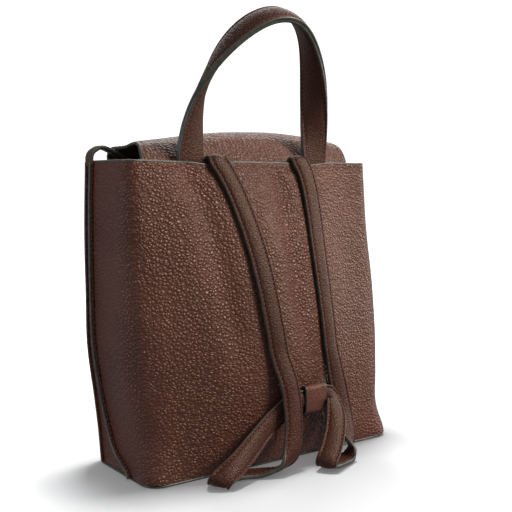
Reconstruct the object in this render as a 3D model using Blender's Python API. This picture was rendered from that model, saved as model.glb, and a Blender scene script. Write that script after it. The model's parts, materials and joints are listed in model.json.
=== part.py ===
"""Small leather backpack with an over-flap, a twisted top handle and one continuous shoulder strap.

Metres, +Z up. The back panel, which lies against the wearer, faces +Y and the flap closes towards -Y.
Left means +X. The origin is the centre of the base, on the floor. Lengths below are in millimetres
and are scaled once, where a mesh is made.
"""
import math

import bpy
import numpy as np

MM = 0.001
GAP = 0.3                    # clearance between pieces that lie against each other

# body: (height, value) knots, each joined by a smooth curve
HEIGHT = 270.0
HALF_WIDTH = [(0, 135.0), (35, 135.0), (120, 139.5), (HEIGHT, 136.0)]
BACK_LINE = [(0, 50.0), (HEIGHT, 15.0)]
FRONT_LINE = [(0, -50.0), (HEIGHT, -63.0)]
BACK_CORNER = [(0, 15.0), (50, 24.0), (150, 24.0), (HEIGHT, 12.0)]
FRONT_CORNER = [(0, 15.0), (50, 9.0), (HEIGHT, 6.0)]
SIDE_SEAM = [(0, 22.0), (9, 9.0), (18, -8.0), (36, -20.0), (80, -32.0), (150, -40.0), (HEIGHT, -45.0)]
BACK_BELLY = 23.0            # how far the back panel bows out at its centre
BELLY_SHAPE = 0.75           # below 1 puts the fullest point below mid-height
FRONT_BELLY = 5.0
LEATHER = 2.0                # wall leather
LINING = 0.8
FACING_FOOT = 240.0          # the lining ends and the leather facings start here
FACING = 1.1
BASE_THICK = 2.5
BOARD_THICK = 2.0
BASE_LIP = 1.0               # how far the base edge stands out from the walls
WALL_ROWS = (2.8, 5.1, 10, 20, 33, 52, 80, 115, 150, 185, 215, FACING_FOOT, 255, HEIGHT)

# slip pocket inside the front
POCKET_HALF = 80.0
POCKET_FOOT = 62.0
POCKET_TOP = 165.0
POCKET = 0.9
POCKET_Y = -44.0             # face towards the inside of the bag
POCKET_BACK = 3.8            # from the outside of the front panel to the back of the pocket
CUT_PAST = 5.0               # how far a cutter goes past what it opens

# flap
FLAP_HALF = [(0, 115.0), (3, 113.2), (5, 112.3)]             # half width by CROWN step
FLAP_FRONT_HALF = 112.0
FLAP_FOOT = 243.0            # where the flap is sewn inside the back
ROOT_ROWS = (FLAP_FOOT, 256.0, 267.0)
ROOT_RISE = ((3.4, 275.6, 0.15), (-2.4, 284.0, 0.4))         # y, z and share of the side drop
FLAP_DEPTH = 8.4             # from the outside of the back panel to the flap root
FLAP_HINGE = (-2.9, 285.0)   # (y, z)
FLAP_CREASE = (-71.9, 279.2)
CROWN = [(0, (-3.4, 285.3)), (1, (-12.0, 291.5)), (2, (-27.0, 296.5)),
         (3, (-48.0, 294.0)), (4, (-64.0, 288.0)), (5, (-71.6, 280.2))]
CROWN_STEPS = 11
HINGE_DROP = 0.4             # share of the side drop that the hinge line has
FLAP_SIDE_DROP = 7.0         # how much lower the crown is at its side edges
FLAP_STANDOFF = 8.5          # outside of the flap to outside of the front panel
FLAP_END = 150.0
FLAP_CORNER = 30.0
DROP_ROWS = (278.0, 265.0, 240.0, 210.0, FLAP_END + FLAP_CORNER, 166.0, 156.0, FLAP_END)
DROP_LEVEL = 240.0           # below this the hanging part no longer follows the side drop

# top handle
HANDLE_X = 70.0
HANDLE_Y = 10.0
HANDLE_HINGE_Z = 272.5
HANDLE_RISE = 127.0
HANDLE_LEAN = 33.0           # how far its top hangs over the back
LEAN_SHAPE = 2.24            # above 1 keeps the feet upright
ARCH_SHAPE = 0.9             # below 1 makes the arch fuller than half an ellipse
TWIST_SPAN = 0.75            # share of each leg that the quarter twist takes
HANDLE_WIDTH = 26.0
HANDLE_SKIN = 1.7
HANDLE_CORE_WIDTH = 14.0
HANDLE_CORE = 1.2
HANDLE_FOOT = 1.5            # first moving point above the hinge

# shoulder strap
STRAP_WIDTH = 19.0
STRAP = 3.6
STRAP_HINGE = (18.2, 268.5)  # (y, z)
CURL_Z = 268.9               # centre height of the curl over the top edge
CURL_RISE = 5.4
RUN_TOP = 264.5              # where the swinging run starts
STRAP_CUT = 100.0            # height where the swinging run ends
TAB_FOOT = 241.5
TAB_TOP = 269.0
TAB_DEPTH = LEATHER + 4 * GAP + FACING    # from the outside of the back panel to the sewn ends
HANDLE_TAB = 2.8             # thickness of a handle end
EAR_HINGE = (136.5, 271.5)   # (x, z)
EAR_Y = (-57.0, -46.0)
EAR_PATH = [(0, (137.0, 272.6)), (1, (134.6, 279.0)), (2, (126.0, 283.2)),
            (3, (115.5, 279.6)), (4, (107.0, 275.4)), (5, (101.0, 272.4))]        # (x, z)
EAR = 2.5

# keeper loop on the lower back
KEEPER_X = (-37.0, -13.0)
KEEPER_Z = (44.0, 70.0)
KEEPER = 1.7
KEEPER_DEPTH = 8.6

SNAP_Z = 176.0
SNAP_RADIUS = 9.0
SNAP_THICK = 2.0


def clear_scene():
    for item in list(bpy.data.objects):
        bpy.data.objects.remove(item, do_unlink=True)


def through(knots, at):
    """Value of a smooth curve through (position, value) knots."""
    places = [k[0] for k in knots]
    values = [np.asarray(k[1], float) for k in knots]
    last = len(knots) - 1
    slopes = []
    for i in range(last + 1):
        low, high = max(i - 1, 0), min(i + 1, last)
        slopes.append((values[high] - values[low]) / (places[high] - places[low]))
    at = min(max(at, places[0]), places[-1])
    i = min(max(int(np.searchsorted(places, at, side="right")) - 1, 0), last - 1)
    span = places[i + 1] - places[i]
    t = (at - places[i]) / span
    rise = t * t * (3 - 2 * t)
    return (values[i] * (1 - rise) + values[i + 1] * rise
            + slopes[i] * span * t * (1 - t) ** 2 - slopes[i + 1] * span * t * t * (1 - t))


def unit(v):
    return v / np.linalg.norm(v)


# ---------------------------------------------------------------- body surface
SIDE_STEPS, WRAP_STEPS, CORNER_STEPS, FRONT_CORNER_STEPS, FACE_STEPS = 4, 4, 4, 3, 12
GUSSET_LEFT = range(0, SIDE_STEPS + 1)
BACK = range(SIDE_STEPS, SIDE_STEPS + 2 * WRAP_STEPS + 2 * CORNER_STEPS + FACE_STEPS + 1)
GUSSET_RIGHT = range(BACK[-1], BACK[-1] + SIDE_STEPS + 1)
FRONT = range(GUSSET_RIGHT[-1], GUSSET_RIGHT[-1] + 2 * FRONT_CORNER_STEPS + FACE_STEPS + 1)
RING = FRONT[-1]
BACK_FACE = BACK[WRAP_STEPS + 1:-WRAP_STEPS - 1]
FRONT_FACE = FRONT[1:-1]


def belly(z, full, shape):
    return full * math.sin(math.pi * min(max(z / HEIGHT, 0.0), 1.0) ** shape)


def back_y(x, z):
    across = max(1 - (x / through(HALF_WIDTH, z)) ** 2, 0.0) ** 2
    return float(through(BACK_LINE, z) + belly(z, BACK_BELLY, BELLY_SHAPE) * across)


def front_y(x, z):
    across = max(1 - (x / through(HALF_WIDTH, z)) ** 2, 0.0) ** 2
    return float(through(FRONT_LINE, z) - belly(z, FRONT_BELLY, 1.0) * across)


def arc(centre, radius, start, steps):
    """A quarter turn to the left, without its last point; angles in degrees."""
    turns = [math.radians(start + 90.0 * i / steps) for i in range(steps)]
    return [(centre[0] + radius * math.cos(a), centre[1] + radius * math.sin(a)) for a in turns]


def line(start, end, steps):
    return [tuple(np.add(start, np.subtract(end, start) * i / steps)) for i in range(steps)]


def ring(z):
    """The outside of the body at one height, counter-clockwise from the left front corner."""
    half, back, front = (float(through(k, z)) for k in (HALF_WIDTH, BACK_LINE, FRONT_LINE))
    rb, rf = float(through(BACK_CORNER, z)), float(through(FRONT_CORNER, z))
    seam = float(through(SIDE_SEAM, z))
    flat = line((half, front + rf), (half, seam), SIDE_STEPS)
    flat += line((half, seam), (half, back - rb), WRAP_STEPS)
    flat += arc((half - rb, back - rb), rb, 0, CORNER_STEPS)
    flat += line((half - rb, back), (rb - half, back), FACE_STEPS)
    flat += arc((rb - half, back - rb), rb, 90, CORNER_STEPS)
    flat += line((-half, back - rb), (-half, seam), WRAP_STEPS)
    flat += line((-half, seam), (-half, front + rf), SIDE_STEPS)
    flat += arc((rf - half, front + rf), rf, 180, FRONT_CORNER_STEPS)
    flat += line((rf - half, front), (half - rf, front), FACE_STEPS)
    flat += arc((half - rf, front + rf), rf, 270, FRONT_CORNER_STEPS)
    points = np.array([(x, y, z) for x, y in flat])
    for p in points:
        p[1] += (back_y(p[0], z) - back) if p[1] > seam else 0.0
        p[1] += (front_y(p[0], z) - front) if p[1] < front + rf - 1e-6 else 0.0
    return points


def ring_layer(z, depth):
    """The ring moved inwards at its own height, so that the sheet between is depth thick."""
    around = ring(z)
    along = np.roll(around, -1, axis=0) - np.roll(around, 1, axis=0)
    up = ring(min(z + 0.5, HEIGHT + 0.5)) - ring(z - 0.5)
    normal = np.cross(along, up)
    normal /= np.linalg.norm(normal, axis=1)[:, None]
    level = normal * (1, 1, 0)
    return around - depth * level / (level ** 2).sum(axis=1)[:, None]


def wall_grid(columns, rows, depth):
    grid = np.array([ring_layer(z, depth)[[c % RING for c in columns]] for z in rows])
    for edge, inner in ((0, 1), (-1, -2)):
        step = grid[:, inner] - grid[:, edge]
        grid[:, edge] += step / np.linalg.norm(step, axis=1)[:, None] * GAP / 2
    return grid


def level_step(normal):
    """The level move that carries a point one unit away along the normal."""
    level = normal * (1, 1, 0)
    return level / (level ** 2).sum()


def on_back(x, z, standoff):
    """A point off the outside of the back panel at the same height (negative is inside), and the normal."""
    near = 0.5
    slope_x = (back_y(x + near, z) - back_y(x - near, z)) / (2 * near)
    slope_z = (back_y(x, z + near) - back_y(x, z - near)) / (2 * near)
    normal = unit(np.array((-slope_x, 1.0, -slope_z)))
    return np.array((x, back_y(x, z), z)) + level_step(normal) * standoff, normal


def on_front(x, z, standoff):
    near = 0.5
    slope_x = (front_y(x + near, z) - front_y(x - near, z)) / (2 * near)
    slope_z = (front_y(x, z + near) - front_y(x, z - near)) / (2 * near)
    normal = unit(np.array((-slope_x, 1.0, -slope_z)))
    return np.array((x, front_y(x, z), z)) - level_step(normal) * standoff


# ---------------------------------------------------------------- mesh makers
def material(name, colour, roughness, metallic=0.0):
    mat = bpy.data.materials.new(name)
    mat.use_nodes = True
    shader = mat.node_tree.nodes["Principled BSDF"]
    shader.inputs["Base Color"].default_value = (*colour, 1.0)
    shader.inputs["Roughness"].default_value = roughness
    shader.inputs["Metallic"].default_value = metallic
    return mat


def add_object(name, verts, faces, look, origin=(0.0, 0.0, 0.0)):
    """One closed body; origin (mm) is where its own axes sit."""
    mesh = bpy.data.meshes.new(name)
    place = np.asarray(origin, float)
    mesh.from_pydata([tuple((np.asarray(v) - place) * MM) for v in verts], [], faces)
    mesh.validate()
    mesh.update()
    if mesh_volume(mesh) < 0:
        mesh.flip_normals()
    mesh.shade_smooth()
    mesh.set_sharp_from_angle(angle=math.radians(40))
    mesh.materials.append(material(name, *look))
    item = bpy.data.objects.new(name, mesh)
    item.location = place * MM
    bpy.context.scene.collection.objects.link(item)
    return item


def mesh_volume(mesh):
    total = 0.0
    mesh.calc_loop_triangles()
    for triangle in mesh.loop_triangles:
        a, b, c = (mesh.vertices[i].co for i in triangle.vertices)
        total += a.dot(b.cross(c))
    return total


def slab(name, outer, inner, look, origin=(0, 0, 0), closed=False, floor=False):
    """A sheet with thickness between two grids of points (rows x columns x 3).

    closed joins the last column to the first; floor caps the first row of each grid.
    """
    rows, cols = outer.shape[:2]
    verts = list(outer.reshape(-1, 3)) + list(inner.reshape(-1, 3))
    shift = rows * cols

    def at(row, col, side):
        return side * shift + row * cols + col % cols

    faces = []
    spans = cols if closed else cols - 1
    for r in range(rows - 1):
        for c in range(spans):
            quad = [(r, c), (r, c + 1), (r + 1, c + 1), (r + 1, c)]
            faces.append([at(i, j, 0) for i, j in quad])
            faces.append([at(i, j, 1) for i, j in reversed(quad)])
        if not closed:
            faces.append([at(r, 0, 1), at(r, 0, 0), at(r + 1, 0, 0), at(r + 1, 0, 1)])
            faces.append([at(r, cols - 1, 0), at(r, cols - 1, 1),
                          at(r + 1, cols - 1, 1), at(r + 1, cols - 1, 0)])
    for c in range(spans):
        faces.append([at(rows - 1, c, 0), at(rows - 1, c + 1, 0), at(rows - 1, c + 1, 1), at(rows - 1, c, 1)])
        if not floor:
            faces.append([at(0, c + 1, 0), at(0, c, 0), at(0, c, 1), at(0, c + 1, 1)])
    if floor:
        faces.append([at(0, c, 0) for c in reversed(range(cols))])
        faces.append([at(0, c, 1) for c in range(cols)])
    return add_object(name, verts, faces, look, origin)


def sheet_below(grid, depth):
    """The grid moved by depth away from its outside, which is rows-direction cross columns-direction."""
    down = np.gradient(grid, axis=0)
    across = np.gradient(grid, axis=1)
    normal = np.cross(down, across)
    normal /= np.linalg.norm(normal, axis=2)[:, :, None]
    return grid - depth * normal


def ribbon(name, points, normals, width, low, high, look, origin=(0, 0, 0)):
    """A flat strap along points, its thickness from low to high along the normals."""
    points = np.asarray(points)
    along = np.gradient(points, axis=0)
    along /= np.linalg.norm(along, axis=1)[:, None]
    normals = np.asarray(normals)
    normals = normals - (normals * along).sum(axis=1)[:, None] * along
    normals /= np.linalg.norm(normals, axis=1)[:, None]
    side = np.cross(along, normals) * width / 2
    rows = [[p - s, p, p + s] for p, s in zip(points, side)]
    lift = normals[:, None, :]
    return slab(name, np.array(rows) + lift * high, np.array(rows) + lift * low, look, origin)


def plate(name, outline, low, high, look):
    """A flat plate over an outline of (x, y) points."""
    count = len(outline)
    verts = [(x, y, low) for x, y in outline] + [(x, y, high) for x, y in outline]
    faces = [list(reversed(range(count))), list(range(count, 2 * count))]
    faces += [[i, (i + 1) % count, count + (i + 1) % count, count + i] for i in range(count)]
    return add_object(name, verts, faces, look)


def disc(name, centre, normal, radius, thick, look, origin=(0, 0, 0), steps=28):
    """A round plate whose first face is centred on centre, growing along normal."""
    side = unit(np.cross(normal, (0, 0, 1.0)))
    upright = np.cross(side, normal)
    turns = [2 * math.pi * i / steps for i in range(steps)]
    rim = [centre + radius * (math.cos(a) * side + math.sin(a) * upright) for a in turns]
    verts = rim + [p + normal * thick for p in rim]
    faces = [list(range(steps)), list(reversed(range(steps, 2 * steps)))]
    faces += [[(i + 1) % steps, i, steps + i, steps + (i + 1) % steps] for i in range(steps)]
    return add_object(name, verts, faces, look, origin)


# ---------------------------------------------------------------- looks: colour, roughness, metallic
PEBBLED = ((0.075, 0.028, 0.024), 0.48)
SMOOTH = ((0.085, 0.032, 0.026), 0.42)
SUEDE = ((0.10, 0.055, 0.045), 0.85)
FABRIC = ((0.20, 0.15, 0.12), 0.9)
BOARD = ((0.25, 0.20, 0.15), 0.95)
NICKEL = ((0.55, 0.53, 0.50), 0.30, 1.0)


# ---------------------------------------------------------------- body
def make_walls():
    for name, columns in (("back_panel", BACK), ("gusset_left", GUSSET_LEFT),
                          ("gusset_right", GUSSET_RIGHT), ("front_panel", FRONT)):
        slab(name, wall_grid(columns, WALL_ROWS, 0.0), wall_grid(columns, WALL_ROWS, LEATHER), PEBBLED)
    rows = [FACING_FOOT + 2 * GAP] + [z for z in WALL_ROWS if z > FACING_FOOT]
    for name, columns in (("back_facing", BACK_FACE), ("front_facing", FRONT_FACE)):
        slab(name, wall_grid(columns, rows, LEATHER + 2 * GAP),
             wall_grid(columns, rows, LEATHER + 2 * GAP + FACING), SUEDE)


def make_base_and_lining():
    foot = WALL_ROWS[0]
    outline = [(p[0], p[1]) for p in ring_layer(0.0, -BASE_LIP)]
    plate("base_panel", outline, 0.0, BASE_THICK, PEBBLED)
    board = [(p[0], p[1]) for p in ring_layer(foot, LEATHER + 2 * GAP)]
    plate("base_stiffener", board, BASE_THICK + GAP, BASE_THICK + GAP + BOARD_THICK, BOARD)
    rows = [z for z in WALL_ROWS if foot < z <= FACING_FOOT]
    layers = []
    for depth in (LEATHER + 2 * GAP, LEATHER + 2 * GAP + LINING):
        grid = np.array([ring_layer(z, depth) for z in rows])
        grid[0, :, 2] = rows[0] + (depth - LEATHER - 2 * GAP)
        layers.append(grid)
    slab("body_lining", layers[0], layers[1], FABRIC, closed=True, floor=True)


def make_inner_pocket():
    """A slip pocket on the lining of the front: one upright sheet, its sides and foot turned to the wall."""

    def block(name, half, low, high, depth, far_y):
        rows = np.linspace(low, high, 5)
        cols = np.linspace(-half, half, 9)
        near = np.array([[on_front(x, z, -depth) for x in cols] for z in rows])
        far = near.copy()
        far[:, :, 1] = far_y
        return slab(name, near, far, FABRIC)

    pocket = block("inner_pocket", POCKET_HALF, POCKET_FOOT, POCKET_TOP, POCKET_BACK, POCKET_Y)
    hollow = block("pocket_hollow", POCKET_HALF - POCKET, POCKET_FOOT + POCKET, POCKET_TOP + CUT_PAST,
                   POCKET_BACK - CUT_PAST, POCKET_Y - POCKET)
    hollow.hide_render = True
    hollow.display_type = "WIRE"
    cut = pocket.modifiers.new("hollow", "BOOLEAN")
    cut.operation = "DIFFERENCE"
    cut.object = hollow


def make_ears():
    """The tops of the gussets, folded inwards over the mouth."""
    middle = sum(EAR_Y) / 2
    for name, side in (("ear_left", 1), ("ear_right", -1)):
        spots = [through(EAR_PATH, t) for t in np.linspace(0, EAR_PATH[-1][0], 16)]
        points = np.array([(side * x, middle, z) for x, z in spots])
        along = np.gradient(points, axis=0)
        normals = np.cross(along, (0, side, 0))
        ribbon(name, points, normals, EAR_Y[1] - EAR_Y[0], -EAR / 2, EAR / 2, PEBBLED,
               origin=(side * EAR_HINGE[0], middle, EAR_HINGE[1]))


# ---------------------------------------------------------------- flap
def side_drop(x, share):
    return FLAP_SIDE_DROP * share * (x / FLAP_HALF[0][1]) ** 2


def flap_columns(half):
    return np.linspace(-half, half, FACE_STEPS + 1)


def make_flap_root():
    """Sewn inside the back, over the handle and strap ends, rising to the hinge line."""
    columns = flap_columns(FLAP_HALF[0][1])
    rows = [[on_back(x, z, -FLAP_DEPTH)[0] for x in columns] for z in ROOT_ROWS]
    rows += [[(x, y, z - side_drop(x, share)) for x in columns] for y, z, share in ROOT_RISE]
    grid = np.array(rows)
    slab("flap_root", grid, sheet_below(grid, LEATHER), PEBBLED)


def crown_grid():
    rows = []
    for t in np.linspace(0, CROWN[-1][0], CROWN_STEPS):
        y, z = through(CROWN, t)
        share = HINGE_DROP + (1 - HINGE_DROP) * min(t / 2, 1.0)
        columns = flap_columns(float(through(FLAP_HALF, t)))
        rows.append([(x, y, z - side_drop(x, share)) for x in columns])
    return np.array(rows)


def front_half(z):
    """Half width of the hanging part, with rounded lower corners."""
    fall = max(FLAP_END + FLAP_CORNER - z, 0.0)
    return FLAP_FRONT_HALF - FLAP_CORNER + math.sqrt(max(FLAP_CORNER ** 2 - fall ** 2, 0.0))


def drop_grid():
    rows = []
    for z in DROP_ROWS:
        share = max((z - DROP_LEVEL) / (DROP_ROWS[0] - DROP_LEVEL), 0.0)
        columns = flap_columns(front_half(z))
        rows.append([on_front(x, z, FLAP_STANDOFF) - np.array((0, 0, side_drop(x, share))) for x in columns])
    return np.array(rows)


def make_flap():
    for name, grid, origin in (("flap_crown", crown_grid(), FLAP_HINGE),
                               ("flap_front", drop_grid(), FLAP_CREASE)):
        axis = (0.0, *origin)
        slab(name, grid, sheet_below(grid, LEATHER), PEBBLED, axis)
        low = LEATHER + GAP
        slab(name + "_lining", sheet_below(grid, low), sheet_below(grid, low + LINING), SUEDE, axis)


def make_snap():
    """Hidden magnetic snap: one half on the front panel, the other under the flap."""
    seat = on_front(0, SNAP_Z, GAP)
    out = unit(on_front(0, SNAP_Z, 1.0) - on_front(0, SNAP_Z, 0.0))
    disc("snap_female", seat, out, SNAP_RADIUS, SNAP_THICK, NICKEL)
    under = FLAP_STANDOFF - LEATHER - GAP - LINING - GAP
    axis = (0.0, *FLAP_CREASE)
    disc("snap_male", on_front(0, SNAP_Z, under), -out, SNAP_RADIUS, SNAP_THICK, NICKEL, axis)


# ---------------------------------------------------------------- handle
def handle_path():
    """Arch with a quarter twist in each leg: its faces look front and back at the feet, up and down above."""
    points, normals = [], []
    steps = 60
    for i in range(steps + 1):
        turn = math.pi * i / steps
        share = 2 * min(i, steps - i) / steps
        height = math.sin(turn) ** ARCH_SHAPE
        y = HANDLE_Y + HANDLE_LEAN * height ** LEAN_SHAPE
        points.append((HANDLE_X * math.cos(turn), y, HANDLE_HINGE_Z + HANDLE_FOOT + HANDLE_RISE * height))
        lean = math.atan(LEAN_SHAPE * HANDLE_LEAN / HANDLE_RISE * height ** (LEAN_SHAPE - 1))
        out = unit(np.array((math.cos(turn) / HANDLE_X, 0.0, math.sin(turn) / HANDLE_RISE)))
        out = np.array((out[0], out[2] * math.sin(lean), out[2] * math.cos(lean)))
        front = np.array((0.0, -math.cos(lean), math.sin(lean)))
        twist = math.pi / 2 * (1 - math.sin(math.pi / 2 * min(share / TWIST_SPAN, 1)))
        normals.append(out * math.cos(twist) + front * math.sin(twist))
    return points, normals


def make_handle():
    points, normals = handle_path()
    axis = (0.0, HANDLE_Y, HANDLE_HINGE_Z)
    inside = HANDLE_CORE / 2 + 2.5 * GAP
    ribbon("handle_outer", points, normals, HANDLE_WIDTH, inside, inside + HANDLE_SKIN, SMOOTH, axis)
    ribbon("handle_inner", points, normals, HANDLE_WIDTH, -inside - HANDLE_SKIN, -inside, SMOOTH, axis)
    ribbon("handle_core", points, normals, HANDLE_CORE_WIDTH, -HANDLE_CORE / 2, HANDLE_CORE / 2, BOARD, axis)


def inside_patch(name, x, half, low, high, near, far, look):
    """A patch on the inside of the back, its faces near and far from the outside of the back panel."""
    rows = np.linspace(low, high, 4)
    cols = (x - half, x, x + half)
    grids = [np.array([[on_back(c, z, -d)[0] for c in cols] for z in rows]) for d in (near, far)]
    slab(name, *grids, look)


def make_handle_tabs():
    """Ends of the handle, sewn inside the back."""
    for side, word in ((1, "left"), (-1, "right")):
        inside_patch("handle_tab_" + word, side * HANDLE_X, HANDLE_WIDTH / 2, TAB_FOOT, TAB_TOP,
                     TAB_DEPTH, TAB_DEPTH + HANDLE_TAB, SMOOTH)


# ---------------------------------------------------------------- shoulder strap
LEFT_RUN = [(STRAP_CUT, 11.0), (126, 14.0), (160, 17.0), (195, 21.5), (230, 29.0), (257, 38.0),
            (HEIGHT, 46.0)]
RIGHT_RUN = [(STRAP_CUT, -52.5), (120, -51.5), (155, -51.0), (192, -51.5), (228, -53.0), (257, -52.0),
             (HEIGHT, -47.0)]
OUT = (0, 1, 0)
# (x, distance behind the back, z, direction of the outer face), from the run down to the keeper
LEFT_LOOP = [
    (6.5, 7.5, 77, OUT), (5, 10.0, 58, OUT), (7, 13.5, 36, OUT), (12, 19.5, 18, (0.15, 0.95, -0.3)),
    (23, 23.5, 6.5, (0.1, 0.35, -0.93)), (42, 20.0, 2.6, (0, 0.05, -1)), (62, 14.0, 2.6, (0, 0, -1)),
    (80, 11.5, 3.2, (0.3, 0, -0.95)), (87, 11.5, 7.2, (1, 0.1, 0.1)), (80, 11.5, 11.0, (0.1, 0.3, 0.95)),
    (66, 10.5, 13.5, (0.05, 0.6, 0.8)), (52, 8.0, 19, (0.1, 0.85, 0.5)), (36, 4.8, 29.0, (0, 0.97, 0.2)),
    (21, 3.3, 40.0, (0, 1, 0.05)), (9, 4.0, 50.5, OUT), (3.0, 4.5, 55.3, OUT), (-1.8, 4.6, 57.0, OUT)]
RIGHT_LOOP = [
    (-58, 5.5, 70, OUT), (-62, 9.0, 44, OUT), (-61, 16.0, 22, (-0.1, 0.95, -0.3)),
    (-56, 24.0, 8.0, (0, 0.5, -0.85)), (-46, 28.0, 2.8, (0.1, 0.1, -1)), (-34, 31.0, 2.8, (0.3, 0.1, -0.95)),
    (-25, 32.5, 7.0, (0.75, 0.6, -0.35)), (-23, 32.5, 15.0, (0.35, 0.93, 0.05)),
    (-29, 27.0, 26, (-0.05, 0.97, 0.2)), (-38, 19.0, 38, (-0.4, 0.9, 0.15)),
    (-45, 11.5, 48, (-0.55, 0.82, 0.1)), (-46.5, 7.0, 54.5, (-0.35, 0.93, 0)), (-43, 5.0, 57, OUT)]
LOOP_GAP = 0.7               # half the gap between a swinging run and its loop
STRAP_CLEAR = 0.7            # between the leather of the back and a resting strap
STRAP_LIFT = STRAP_CLEAR + STRAP / 2
KEEPER_MIDDLE = sum(KEEPER_Z) / 2
KEEPER_PLAY = 0.5            # between the keeper's inner face and the strap in it
IN_KEEPER = GAP + KEEPER + KEEPER_PLAY + STRAP / 2      # middle of the strap in the keeper, from the back
IN_KEEPER_X = (-5.2, -37.2)


def make_strap_tops():
    """Each strap end is sewn inside the back and comes low over the top edge."""
    near = TAB_DEPTH + STRAP / 2
    heights = (TAB_FOOT, (TAB_FOOT + CURL_Z) / 2, CURL_Z - 1.0)
    for word, run in (("left", LEFT_RUN), ("right", RIGHT_RUN)):
        x = run[-1][1]
        spots = [on_back(x, z, -near)[0] for z in heights]
        normals = [-on_back(x, z, 0)[1] for z in heights]
        radius = (STRAP_HINGE[0] - spots[-1][1]) / 2
        for degrees in range(20, 160, 20):
            a = math.radians(degrees)
            normals.append(np.array((0, -math.cos(a), math.sin(a))))
            spots.append(np.array((x, spots[2][1] + radius, CURL_Z)) + normals[-1] * (0, radius, CURL_RISE))
        ribbon("strap_%s_tab" % word, spots, normals, STRAP_WIDTH, -STRAP / 2, STRAP / 2, SMOOTH)


def strap_on_back(run, heights):
    pairs = [on_back(float(through(run, z)), z, STRAP_LIFT) for z in heights]
    return [p for p, _ in pairs], [n for _, n in pairs]


def make_strap_runs():
    """The part of each strap that swings away from the back."""
    for word, run in (("left", LEFT_RUN), ("right", RIGHT_RUN)):
        points, normals = strap_on_back(run, np.linspace(RUN_TOP, STRAP_CUT + LOOP_GAP, 15))
        ribbon("strap_%s_upper" % word, points, normals, STRAP_WIDTH, -STRAP / 2, STRAP / 2, SMOOTH,
               origin=(run[-1][1], *STRAP_HINGE))


def lay_strap(name, first, knots):
    """A strap from the end of a swinging run through (x, distance behind the back, z, normal) knots."""
    spots = [first[0]] + [(x, back_y(x, z) + behind, z) for x, behind, z, _ in knots]
    faces = [first[1]] + [k[3] for k in knots]
    count = 4 * (len(spots) - 1) + 1
    along = np.linspace(0, len(spots) - 1, count)
    ribbon(name, [through(list(enumerate(spots)), t) for t in along],
           [through(list(enumerate(faces)), t) for t in along], STRAP_WIDTH, -STRAP / 2, STRAP / 2, SMOOTH)


def make_strap_loops():
    """Below the swinging runs: down to the floor, round, and up to the keeper."""
    for word, run, loop in (("left", LEFT_RUN, LEFT_LOOP), ("right", RIGHT_RUN, RIGHT_LOOP)):
        start = on_back(run[0][1], STRAP_CUT - LOOP_GAP, STRAP_LIFT)
        lay_strap("strap_%s_lower" % word, start, loop)
    centre = [on_back(x, KEEPER_MIDDLE, IN_KEEPER) for x in np.linspace(*IN_KEEPER_X, 8)]
    ribbon("strap_centre", [p for p, _ in centre], [n for _, n in centre], STRAP_WIDTH,
           -STRAP / 2, STRAP / 2, SMOOTH)


def make_keeper():
    """Sewn loop that the strap slides through, open along X."""
    z_low, z_high = KEEPER_Z
    steps = 6

    def loop(x, inset):
        near = GAP + inset
        far = KEEPER_DEPTH - inset
        rim = []
        radius = (far - near) / 2
        for z, sign in ((z_high - inset - radius, 1), (z_low + inset + radius, -1)):
            for i in range(steps + 1):
                a = math.pi * i / steps
                height = z + sign * radius * math.sin(a)
                off = (near + far) / 2 - sign * radius * math.cos(a)
                rim.append(on_back(x, KEEPER_MIDDLE, off)[0] + np.array((0, 0, height - KEEPER_MIDDLE)))
        return rim

    xs = np.linspace(*KEEPER_X, 3)
    outer = np.array([loop(x, 0.0) for x in xs])
    inner = np.array([loop(x, KEEPER) for x in xs])
    slab("strap_keeper", outer, inner, SMOOTH, closed=True)


def main():
    clear_scene()
    make_walls()
    make_base_and_lining()
    make_inner_pocket()
    make_ears()
    make_flap_root()
    make_flap()
    make_snap()
    make_handle()
    make_handle_tabs()
    make_strap_tops()
    make_strap_runs()
    make_strap_loops()
    make_keeper()


main()
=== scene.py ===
"""Looks of the leather backpack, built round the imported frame.

Lengths are in millimetres in the frame's own axes and are scaled once, where a mesh is made. Those of
the materials and the stage are in metres.
The back panel faces +Y, the flap closes towards -Y, and left means +X.
"""
import json
import math

import bpy
import numpy as np
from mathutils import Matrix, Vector, noise


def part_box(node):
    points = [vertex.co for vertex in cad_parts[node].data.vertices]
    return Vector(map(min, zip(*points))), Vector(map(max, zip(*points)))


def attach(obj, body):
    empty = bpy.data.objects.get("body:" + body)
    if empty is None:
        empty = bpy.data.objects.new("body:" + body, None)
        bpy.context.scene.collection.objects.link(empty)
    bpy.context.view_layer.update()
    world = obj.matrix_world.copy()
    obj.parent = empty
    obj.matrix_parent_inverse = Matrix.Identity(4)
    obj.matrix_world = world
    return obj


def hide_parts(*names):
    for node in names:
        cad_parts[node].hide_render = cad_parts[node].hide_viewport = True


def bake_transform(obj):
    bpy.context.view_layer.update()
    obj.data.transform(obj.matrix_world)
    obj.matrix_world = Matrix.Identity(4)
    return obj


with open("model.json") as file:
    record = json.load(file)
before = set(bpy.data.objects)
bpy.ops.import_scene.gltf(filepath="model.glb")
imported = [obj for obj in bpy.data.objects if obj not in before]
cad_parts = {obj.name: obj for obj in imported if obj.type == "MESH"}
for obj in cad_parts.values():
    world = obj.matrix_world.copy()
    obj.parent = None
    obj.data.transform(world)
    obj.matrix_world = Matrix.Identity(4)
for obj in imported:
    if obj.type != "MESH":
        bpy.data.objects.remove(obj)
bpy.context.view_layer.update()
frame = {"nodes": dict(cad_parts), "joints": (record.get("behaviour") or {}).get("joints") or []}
MM = 0.001


def box_mm(*names):
    """Lowest and highest corner of some CAD nodes, in millimetres."""
    corners = [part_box(n) for n in names]
    low = np.min([np.array(c[0]) for c in corners], axis=0) / MM
    high = np.max([np.array(c[1]) for c in corners], axis=0) / MM
    return low, high


def joint(name):
    return next(j for j in frame["joints"] if j["name"] == name)


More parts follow.
